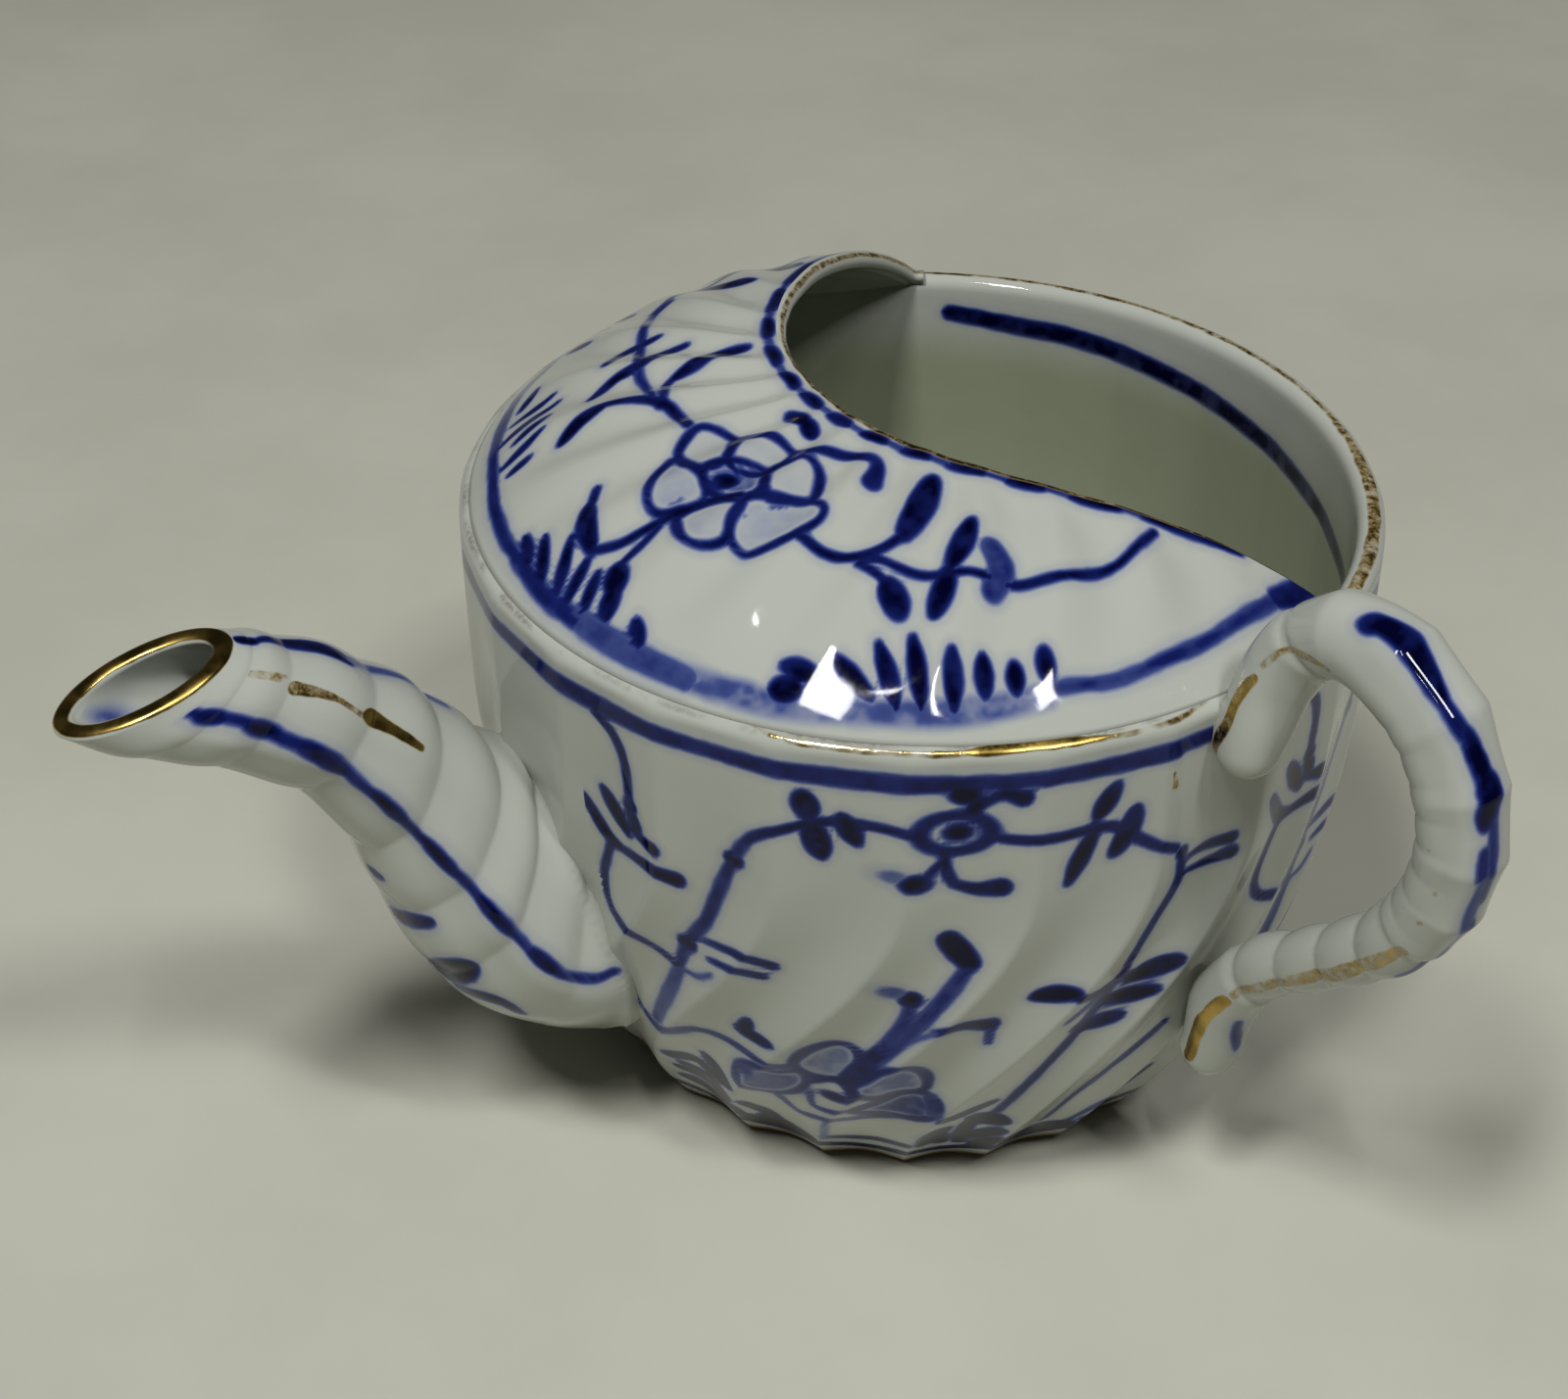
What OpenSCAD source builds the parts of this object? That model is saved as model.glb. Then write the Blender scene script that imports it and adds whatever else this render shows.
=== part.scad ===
// Half-covered porcelain feeder cup: a swirl-fluted bowl with a domed half cover, a drinking spout
// and a side handle, luted together before firing, with gilded lips.
// Origin: centre of the foot ring on the table. +Z up, the spout points along -X, the opening is at +X.

/* [Bowl] */
// Outer radius of the rim
rim_r = 42; // [38:0.5:48]
// Height of the rim above the table
bowl_h = 58.5; // [52:0.5:66]
// Outer radius of the foot
foot_r = 29; // [26:0.5:32]
// How late the wall turns in towards the foot: a higher power keeps it upright for longer
belly_power = 3.4; // [2.8:0.1:4]
// Thickness of the wall at the rim
wall_t = 2.6; // [2:0.1:3.2]
// Thickness of the floor inside the foot ring
floor_t = 3.6; // [3:0.1:5]
// Inner radius of the bowl at its floor
floor_r = 22; // [18:0.5:24]
// Width of the ring that the bowl stands on
foot_ring_w = 3.2; // [2:0.1:5]
// Depth of the recess inside the foot ring
foot_recess = 1.2; // [0.6:0.1:2]
// Radius of the hole through the wall behind the spout
pour_hole_r = 5; // [3.5:0.1:6]
// Height of that hole's centre above the table
pour_hole_z = 24; // [22:0.5:26]

/* [Half cover] */
// Rise of the dome above the rim
dome_h = 12.5; // [8:0.5:16]
// How flat the dome's crown is
dome_power = 3.4; // [2.6:0.1:4]
// Distance of the dome's outer edge inside the rim's outer edge
dome_inset = 1; // [0.8:0.1:1.2]
// Thickness of the cover
cover_t = 2.4; // [2:0.1:3]
// How far the middle of the opening's edge lies behind the cup's centre
edge_back = 10.5; // [4:0.5:16]
// Angle from +X at which the opening's edge meets the rim
edge_angle = 59; // [50:1:68]
// How sharply the opening's edge curves: 2 is a parabola
edge_power = 2.2; // [1.8:0.1:2.6]

/* [Spout] */
// Reach of the spout beyond the rim
spout_reach = 38; // [32:0.5:44]
// Height of the mouth's top above the rim
spout_rise = 2.7; // [0:0.1:6]
// Width of the spout at its root
spout_w = 26; // [24:0.5:28]
// Thickness of the spout's wall
spout_wall = 1.8; // [1.4:0.1:2]
// Depth of the creases between the spout's ribs
spout_crease = 0.6; // [0.3:0.05:0.8]
// Number of ribs along the spout
spout_ribs = 8; // [5:1:10]

/* [Handle] */
// Angle of the handle's plane from +X
handle_angle = -79; // [-100:1:-74]
// How far the handle's centreline stands out from the wall
handle_reach = 21.5; // [18:0.5:26]
// How far the handle's crown rises above the rim
handle_rise = 9.4; // [8:0.2:11]
// Height of the lowest point of the handle's centreline
handle_low = 17.7; // [15:0.1:20]
// Thickness of the handle
handle_t = 7.2; // [6.4:0.1:8]
// Depth of the creases along the handle
handle_crease = 0.35; // [0.2:0.05:0.5]
// Number of ribs along the handle
handle_ribs = 12; // [8:1:16]

/* [Gilding] */
// Thickness of the gold film, drawn far thicker than the fired one
film_t = 0.15; // [0.1:0.01:0.25]
// Width of the gold band on the opening's edge
edge_band_w = 1; // [0.6:0.1:1.6]
// How far the gold comes down on the rim's outer side
rim_band_drop = 1.1; // [0.8:0.1:1.3]

/* [Hidden] */
$fn = 96;
porcelain = [0.86, 0.87, 0.84];
gold = [0.72, 0.53, 0.2];
wall_steps = 20;     // rings up the outer and the inner wall
lip_steps = 8;       // points round the lip
dome_steps = 16;     // rings across the dome
edge_steps = 14;     // points on each half of the opening's edge
section_sides = 20;  // sides of a swept section
row_steps = 4;       // rings from one station of the handle to the next
spout_steps = 6;     // rings from one station of the spout to the next
bore_steps = 2;      // rings from one station of the spout's bore to the next
reach_past = 5;      // how far a cutting solid runs past what it cuts
inner_power = 4;     // how late the inner wall turns in towards the floor
wall_in_r = rim_r - wall_t;
lip_r = wall_t / 2;
lip_z = bowl_h - lip_r;
dome_r = rim_r - dome_inset;
cover_skirt = cover_t;   // how far the cover's inner face starts below the rim
cover_top = bowl_h + dome_h;

// --- bowl -------------------------------------------------------------------------------------

// Outer radius of the wall at a height
function wall_r(z) =
    rim_r - (rim_r - foot_r) * pow(1 - min(max(z / bowl_h, 0), 1), belly_power);

// Inner radius of the wall at a height above the floor
function inner_r(z) =
    wall_in_r - (wall_in_r - floor_r) * pow(1 - (z - floor_t) / (bowl_h - floor_t), inner_power);

outer_wall = [for (i = [0 : wall_steps]) let (z = lip_z * i / wall_steps) [wall_r(z), z]];
inner_wall = [for (i = [wall_steps : -1 : 0])
    let (z = floor_t + (lip_z - floor_t) * i / wall_steps) [inner_r(z), z]];

// Points round the lip, from its outer side over the top to its inner side
function lip_arc(r) =
    [for (i = [1 : lip_steps - 1]) let (a = 180 * i / lip_steps)
        [rim_r - lip_r + r * cos(a), lip_z + r * sin(a)]];

// The bowl's outer form as a full solid, which its neighbours are cut to
module bowl_form() {
    rotate_extrude()
        polygon(concat([[0, 0]], outer_wall, lip_arc(lip_r), [[rim_r - lip_r, bowl_h], [0, bowl_h]]));
}

module bowl_section() {
    ring_in = foot_r - foot_ring_w;
    polygon(concat([[0, foot_recess], [ring_in, foot_recess], [ring_in, 0]],
        outer_wall, lip_arc(lip_r), inner_wall, [[0, floor_t]]));
}

module bowl() {
    color(porcelain)
        difference() {
            rotate_extrude() bowl_section();
            translate([-rim_r - reach_past, 0, pour_hole_z])
                rotate([0, 90, 0]) cylinder(h = rim_r, r = pour_hole_r);
        }
}

// --- half cover -------------------------------------------------------------------------------

// Height of the dome's outer face, and of its inner face, at a radius
function dome_z(r) = bowl_h + dome_h * (1 - pow(r / dome_r, dome_power));
function under_z(r) =
    bowl_h - cover_skirt + (dome_h - cover_t + cover_skirt) * (1 - pow(r / wall_in_r, dome_power));

outer_dome = [for (i = [0 : dome_steps]) let (r = dome_r * i / dome_steps) [r, dome_z(r)]];
inner_dome = [for (i = [dome_steps : -1 : 0]) let (r = wall_in_r * i / dome_steps) [r, under_z(r)]];

// X of the opening's edge at a distance from the middle plane, and half the opening's chord
edge_half = dome_r * sin(edge_angle);
function edge_x(y) =
    -edge_back + (dome_r * cos(edge_angle) + edge_back) * pow(abs(y) / edge_half, edge_power);

// Plan of the covered part, its edge moved forward by a distance
module cover_plan(forward = 0) {
    edge = [for (i = [-edge_steps : edge_steps]) let (y = edge_half * i / edge_steps)
        [edge_x(y) + forward, y]];
    far = rim_r + reach_past;
    polygon(concat([[-far, -far], [edge[0][0], -far]], edge, [[edge[0][0], far], [-far, far]]));
}

module dome_form() {
    rotate_extrude() polygon(concat([[0, 0]], [[dome_r, 0]], [for (i = [dome_steps : -1 : 0]) outer_dome[i]]));
}

module half_cover() {
    color(porcelain)
        difference() {
            intersection() {
                rotate_extrude()
                    polygon(concat(outer_dome, [[dome_r, bowl_h - cover_skirt]], inner_dome));
                linear_extrude(height = cover_top + reach_past) cover_plan();
            }
            rotate_extrude() bowl_section();
        }
}

// --- sweeps -----------------------------------------------------------------------------------

// A smooth curve through the stations, each a list of numbers, with a number of steps between two
function spline(p, i, t) =
    let (a = p[max(i - 1, 0)], b = p[i], c = p[i + 1], d = p[min(i + 2, len(p) - 1)])
    0.5 * (2 * b + (c - a) * t + (2 * a - 5 * b + 4 * c - d) * t * t + (3 * b - a - 3 * c + d) * t * t * t);
function rows(p, steps) = concat(
    [for (i = [0 : len(p) - 2]) for (s = [0 : steps - 1]) spline(p, i, s / steps)],
    [p[len(p) - 1]]);

// The two triangles between point j of one ring and point j of another, each ring given by its first index
function band_faces(from, to) = [for (j = [0 : section_sides - 1]) let (k = (j + 1) % section_sides)
    each [[from + j, from + k, to + j], [from + k, to + k, to + j]]];
function side_faces(first, count) =
    [for (i = [0 : count - 2]) each band_faces(first + i * section_sides, first + (i + 1) * section_sides)];

// A closed solid through rings of section_sides points each
module skin(rings) {
    last = (len(rings) - 1) * section_sides;
    ends = [[for (j = [section_sides - 1 : -1 : 0]) j], [for (j = [0 : section_sides - 1]) last + j]];
    polyhedron(points = [for (ring = rings) each ring], faces = concat(ends, side_faces(0, len(rings))),
        convexity = 6);
}

// A tube with an outer and an inner skin, open at both ends
module tube(outer, inner) {
    n = section_sides;
    first_in = len(outer) * n;
    turned = [for (f = side_faces(first_in, len(inner))) [f[2], f[1], f[0]]];
    polyhedron(points = [for (ring = concat(outer, inner)) each ring],
        faces = concat(side_faces(0, len(outer)), turned, band_faces(first_in, 0),
            band_faces(first_in - n, first_in + (len(inner) - 1) * n)),
        convexity = 6);
}

// Share of full size at a place along a ribbed sweep: round ribs with a sharp crease between two
function rib(u, a, count) = abs(sin(180 * count * u + a / 2));

// --- spout ------------------------------------------------------------------------------------

// Stations of the spout from its root to its mouth, drawn in its own plane: the lower edge and the
// upper edge as [share of the reach beyond the rim, share of the mouth's height], and the
// half-width as a share of spout_w
spout_stations = [
    [-0.08, 0.17, -0.39, 0.38, 0.40],
    [0.09, 0.245, -0.29, 0.465, 0.50],
    [0.245, 0.343, -0.19, 0.54, 0.48],
    [0.33, 0.47, -0.085, 0.62, 0.415],
    [0.39, 0.59, 0.04, 0.72, 0.33],
    [0.46, 0.69, 0.19, 0.833, 0.277],
    [0.585, 0.78, 0.363, 0.925, 0.25],
    [0.776, 0.85, 0.508, 0.977, 0.23],
    [0.915, 0.89, 0.566, 0.993, 0.21],
    [1, 0.931, 0.597, 1, 0.185]
];
mouth_z = bowl_h + spout_rise;

// One section of the spout, inset by a distance and cut in by its crease
function spout_ring(s, u, inset, crease) =
    let (low = [-rim_r - spout_reach * s[0], mouth_z * s[1]],
         top = [-rim_r - spout_reach * s[2], mouth_z * s[3]],
         middle = (low + top) / 2,
         half = norm(top - low) / 2,
         up = (top - low) / (2 * half))
    [for (j = [0 : section_sides - 1])
        let (a = 360 * j / section_sides,
             cut = inset + crease * (1 - rib(u, a, spout_ribs)),
             in_plane = (half - cut) * cos(a),
             across = (s[4] * spout_w - cut) * sin(a))
        [middle[0] + up[0] * in_plane, across, middle[1] + up[1] * in_plane]];

// Rings of the spout, or of its bore, from root to mouth; the creases fade out at the mouth's lip
crease_fade = 6;      // the lip's plain stretch is the last sixth of the spout
function spout_rings(steps, inset, crease) =
    let (p = rows(spout_stations, steps), last = len(p) - 1)
    [for (i = [0 : last]) let (u = i / last)
        spout_ring(p[i], u, inset, crease * min(1, crease_fade * (1 - u)))];

module spout() {
    color(porcelain)
        difference() {
            tube(spout_rings(spout_steps, 0, spout_crease), spout_rings(bore_steps, spout_wall, 0));
            bowl_form();
        }
}

// --- handle -----------------------------------------------------------------------------------

// Stations of the handle from the end of its upper lobe to the end of its lower lobe: the share of
// handle_reach beyond the wall, the share of its height, and its thickness as a share of handle_t
handle_stations = [
    [0.02, 0.68, 0.5],
    [0.03, 0.72, 0.86],
    [0.04, 0.80, 0.86],
    [0.085, 0.88, 0.88],
    [0.215, 0.95, 0.92],
    [0.40, 1.00, 1.00],
    [0.625, 0.99, 1.06],
    [0.85, 0.92, 1.02],
    [0.98, 0.78, 0.96],
    [0.955, 0.63, 0.90],
    [0.766, 0.49, 0.84],
    [0.492, 0.37, 0.78],
    [0.224, 0.26, 0.78],
    [0.08, 0.14, 0.82],
    [0.07, 0.00, 0.86],
    [0.06, -0.05, 0.5]
];
handle_top = bowl_h + handle_rise;
handle_rows = rows(handle_stations, row_steps);

// A station's place in the handle's plane
function handle_place(s) =
    let (z = handle_low + (handle_top - handle_low) * s[1])
    [wall_r(z) + handle_reach * s[0], z];

function handle_ring(i) =
    let (last = len(handle_rows) - 1,
         here = handle_place(handle_rows[i]),
         ahead = handle_place(handle_rows[min(i + 1, last)]) - handle_place(handle_rows[max(i - 1, 0)]),
         out = [ahead[1], -ahead[0]] / norm(ahead),
         r = handle_t / 2 * handle_rows[i][2])
    [for (j = [0 : section_sides - 1])
        let (a = 360 * j / section_sides,
             cut = handle_crease * (1 - rib(i / last, a, handle_ribs)),
             in_plane = (r - cut) * cos(a))
        [here[0] + out[0] * in_plane, -(r - cut) * sin(a), here[1] + out[1] * in_plane]];

module handle() {
    color(porcelain)
        difference() {
            rotate(handle_angle) skin([for (i = [0 : len(handle_rows) - 1]) handle_ring(i)]);
            bowl_form();
            dome_form();
        }
}

// --- gilding ----------------------------------------------------------------------------------

// A film on the lip's round from one angle of its section to another
module lip_film(from, to) {
    function arc(r, a0, a1) = [for (i = [0 : lip_steps])
        let (a = a0 + (a1 - a0) * i / lip_steps) [rim_r - lip_r + r * cos(a), lip_z + r * sin(a)]];
    rotate_extrude() polygon(concat(arc(lip_r + film_t, from, to), arc(lip_r, to, from)));
}

// The gold film over the lip: its outer side all the way round, its top and inner side at the opening
module rim_gilding() {
    band = asin((lip_r - rim_band_drop) / lip_r);
    meets_cover = acos((dome_r - rim_r + lip_r + film_t) / lip_r);
    color(gold)
        union() {
            lip_film(band, meets_cover);
            difference() {
                lip_film(meets_cover, 180 - band);
                linear_extrude(height = cover_top) cover_plan();
            }
        }
}

// The gold film on the cover's top face along the opening's edge
module cover_edge_gilding() {
    top = [for (i = [0 : dome_steps]) let (r = wall_in_r * i / dome_steps) [r, dome_z(r)]];
    color(gold)
        intersection() {
            rotate_extrude()
                polygon(concat([for (p = top) p + [0, film_t]], [for (i = [dome_steps : -1 : 0]) top[i]]));
            linear_extrude(height = cover_top + reach_past)
                difference() {
                    cover_plan();
                    cover_plan(-edge_band_w);
                }
        }
}

// The gold film on the spout's lip
module spout_lip_gilding() {
    end = spout_stations[len(spout_stations) - 1];
    along = [-spout_reach * (end[0] - end[2]), 0, mouth_z * (end[1] - end[3])];
    lift = film_t * [along[2], 0, -along[0]] / norm(along);
    outer = spout_ring(end, 1, 0, 0);
    inner = spout_ring(end, 1, spout_wall, 0);
    color(gold) tube([outer, [for (p = outer) p - lift]], [inner, [for (p = inner) p - lift]]);
}

bowl();
half_cover();
spout();
handle();
rim_gilding();
cover_edge_gilding();
spout_lip_gilding();
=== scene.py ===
import math
import bpy
import numpy as np
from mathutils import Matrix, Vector


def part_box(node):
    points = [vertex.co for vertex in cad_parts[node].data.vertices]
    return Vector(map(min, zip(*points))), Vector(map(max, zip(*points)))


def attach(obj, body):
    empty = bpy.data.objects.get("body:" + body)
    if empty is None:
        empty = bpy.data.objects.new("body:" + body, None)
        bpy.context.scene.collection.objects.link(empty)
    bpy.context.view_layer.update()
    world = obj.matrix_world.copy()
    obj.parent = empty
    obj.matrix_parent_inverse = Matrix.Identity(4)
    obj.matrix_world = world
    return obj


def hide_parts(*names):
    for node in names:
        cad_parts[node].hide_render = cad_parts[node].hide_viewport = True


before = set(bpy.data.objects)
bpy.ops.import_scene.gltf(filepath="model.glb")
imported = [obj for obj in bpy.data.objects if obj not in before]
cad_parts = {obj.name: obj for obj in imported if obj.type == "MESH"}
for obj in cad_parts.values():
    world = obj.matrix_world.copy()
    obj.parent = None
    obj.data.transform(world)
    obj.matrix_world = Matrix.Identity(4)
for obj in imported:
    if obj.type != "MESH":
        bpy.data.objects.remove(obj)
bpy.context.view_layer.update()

# A half-covered porcelain feeder cup: swirl-fluted, painted under the glaze in cobalt blue, and gilded.
# Shapes are worked out in millimetres in the frame's own axes, and turned into metres in make_piece().
# Angles round the cup are in degrees from +X. The spout points along -X and the handle stands near -Y.

MM = 0.001


# --- sizes ------------------------------------------------------------------------------------


def box_mm(node):
    low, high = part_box(node)
    return np.array(low) / MM, np.array(high) / MM


bowl_high = box_mm("bowl")[1]
cover_high = box_mm("half_cover")[1]
spout_low, spout_high = box_mm("spout")

RIM_R = bowl_high[0]
BOWL_H = bowl_high[2]
FOOT_R = 29
BELLY_POWER = 3.4       # how long the wall stays upright before it turns in to the foot
WALL_T = 2.6
WALL_IN_R = RIM_R - WALL_T
LIP_R = WALL_T / 2
LIP_Z = BOWL_H - LIP_R
FLOOR_T = 3.6
FLOOR_R = 22
INNER_POWER = 4
FOOT_RING_W = 3.2
FOOT_RECESS = 1.2
POUR_HOLE_R = 5
POUR_HOLE_Z = 24

DOME_R = RIM_R - 1
DOME_H = cover_high[2] - BOWL_H
DOME_POWER = 3.4        # how flat the cover is before it falls to the rim
COVER_T = 2.4
EDGE_T = 1.9            # thickness of the cover at its opening's edge
EDGE_BACK = 10.5        # how far the opening reaches past the middle, towards the spout
EDGE_ANGLE = 59         # where the opening's edge meets the rim
EDGE_POWER = 2.2        # 2 would make the edge a parabola

SPOUT_REACH = -RIM_R - spout_low[0]
MOUTH_Z = spout_high[2]
SPOUT_W = spout_high[1] - spout_low[1]
SPOUT_WALL = 1.8

HANDLE_ANGLE = -79
HANDLE_REACH = 21.5     # from the wall to the middle of the bow
HANDLE_TOP = BOWL_H + 9.4
HANDLE_LOW = 17.7
HANDLE_T = 7.2
SET_IN = 1.2            # how far the spout's and the handle's roots go into the wall

FLUTES = 24
FLUTE_DEG = 360 / FLUTES
RIDGE_DEG = -1          # one of the ridges, at the rim
SWIRL_DEG = 28.5        # how far the flutes turn on their way down
SWIRL_TOP = 44          # height at which they start to turn
COVER_SWIRL = 0.7       # degrees that the cover's flutes turn in each millimetre


def smooth(t):
    t = np.clip(t, 0, 1)
    return t * t * (3 - 2 * t)


def wall_r(z):
    return RIM_R - (RIM_R - FOOT_R) * (1 - np.clip(z / BOWL_H, 0, 1)) ** BELLY_POWER


def inner_r(z):
    share = np.clip((z - FLOOR_T) / (BOWL_H - FLOOR_T), 0, 1)
    return WALL_IN_R - (WALL_IN_R - FLOOR_R) * (1 - share) ** INNER_POWER


def dome_z(r):
    return BOWL_H + DOME_H * (1 - np.clip(r / DOME_R, 0, 1) ** DOME_POWER)


def edge_x(y):
    """The opening's edge: its x at a distance y from the middle plane."""
    half = DOME_R * math.sin(math.radians(EDGE_ANGLE))
    forward = DOME_R * math.cos(math.radians(EDGE_ANGLE)) + EDGE_BACK
    return -EDGE_BACK + forward * (np.abs(y) / half) ** EDGE_POWER


def wall_swirl(z):
    return -SWIRL_DEG * smooth((SWIRL_TOP - z) / (SWIRL_TOP - 2))


def flute(angle, sharp=0.7):
    """Relief of the flutes at an angle that has no swirl in it: 0 on a ridge, -1 in a channel."""
    x = 2 * (((angle - RIDGE_DEG) / FLUTE_DEG) % 1) - 1
    return sharp * x * x + (1 - sharp) * (0.5 - 0.5 * np.cos(np.pi * x)) - 1


def curve_through(points, steps=6):
    """A smooth curve through a few points, each a row of numbers."""
    p = np.array(points, float)
    if len(p) < 3:
        return np.linspace(p[0], p[-1], 2 * steps) if len(p) == 2 else p
    rows = []
    for i in range(len(p) - 1):
        a, b, c, d = p[max(i - 1, 0)], p[i], p[i + 1], p[min(i + 2, len(p) - 1)]
        for t in np.arange(steps) / steps:
            rows.append(0.5 * (2 * b + (c - a) * t + (2 * a - 5 * b + 4 * c - d) * t ** 2
                               + (3 * b - a - 3 * c + d) * t ** 3))
    rows.append(p[-1])
    return np.array(rows)


# --- meshes -----------------------------------------------------------------------------------

MAP_EDGE = 0.001        # margin of the texture map, where faces that are never seen lie


def grid_faces(rows, columns, closed=True):
    """Quads over a grid of points, with each corner's share of the way along and across the grid."""
    wide = columns if closed else columns - 1
    i, j = np.meshgrid(np.arange(rows - 1), np.arange(wide), indexing="ij")
    row = np.stack([i, i, i + 1, i + 1], -1).reshape(-1, 4)
    column = np.stack([j, j + 1, j + 1, j], -1).reshape(-1, 4)
    shares = np.stack([column / wide, row / (rows - 1)], -1)
    return row * columns + column % columns, shares


def fan_faces(ring, centre):
    """Triangles from a closed ring of points to a centre."""
    return np.stack([ring, np.roll(ring, -1), np.full(len(ring), centre)], -1)


def capped(grid, first, last):
    """A grid of closed rings, with a centre point that closes its first ring and one for its last."""
    rows, columns = grid.shape[:2]
    quads, shares = grid_faces(rows, columns)
    points = np.concatenate([grid.reshape(-1, 3), [first, last]])
    ring = np.arange(columns)
    centre = rows * columns
    fans = [fan_faces(ring[::-1], centre), fan_faces(ring + centre - columns, centre + 1)]
    return points, quads, shares, fans


def hem_faces(rows, columns, closed=True):
    """Quads that join a grid's last row of points to its first, and their place on the texture map."""
    j = np.arange(columns if closed else columns - 1)
    k = (j + 1) % columns
    last = (rows - 1) * columns
    quads = np.stack([last + j, last + k, k, j], -1)
    return quads, np.full((len(quads), 4, 2), MAP_EDGE)


def volume(points, faces):
    """Signed volume of a closed mesh of quads or triangles, as seen from the origin."""
    a = points[faces[:, 0]]
    total = 0
    for k in range(1, faces.shape[1] - 1):
        total += np.einsum("ij,ij->i", a, np.cross(points[faces[:, k]], points[faces[:, k + 1]])).sum()
    return total


def make_piece(name, points, quads, quad_map, fans=(), fan_map=()):
    """A smooth closed mesh with its texture map, its faces turned outwards."""
    if volume(points, quads) + sum(volume(points, fan) for fan in fans) < 0:
        quads, quad_map = quads[:, ::-1], quad_map[:, ::-1]
        fans = [fan[:, ::-1] for fan in fans]
    faces = quads.tolist()
    corners = [quad_map.reshape(-1, 2)]
    for fan, where in zip(fans, fan_map):
        faces += fan.tolist()
        corners.append(np.tile(where, (len(fan) * 3, 1)))
    mesh = bpy.data.meshes.new(name)
    mesh.from_pydata((points * MM).tolist(), [], faces)
    mesh.shade_smooth()
    mesh.uv_layers.new(name="OFBake").data.foreach_set("uv", np.concatenate(corners).ravel())
    piece = bpy.data.objects.new(name, mesh)
    bpy.context.scene.collection.objects.link(piece)
    return piece


def set_values(piece, name, values):
    """Gives each point of a piece a value that its material reads by name."""
    attribute = piece.data.attributes.new(name, "FLOAT", "POINT")
    attribute.data.foreach_set("value", np.asarray(values, np.float32))


# --- brushwork --------------------------------------------------------------------------------

FAR = 9.0               # what an unpainted place says of its nearest stroke
NEAR = 3.0              # how far outside a stroke its distance is still kept
FULL = 1.2              # load of a brush that is overfull
LAYERS = ("ink", "wash", "gold")
BRUSH = {
    "line": lambda t: 0.82 + 0.18 * np.sin(np.pi * t),
    "leaf": lambda t: np.sin(np.pi * (0.1 + 0.8 * t)) ** 0.7,
    "drop": lambda t: 0.4 + 0.6 * t ** 1.3,
}


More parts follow.
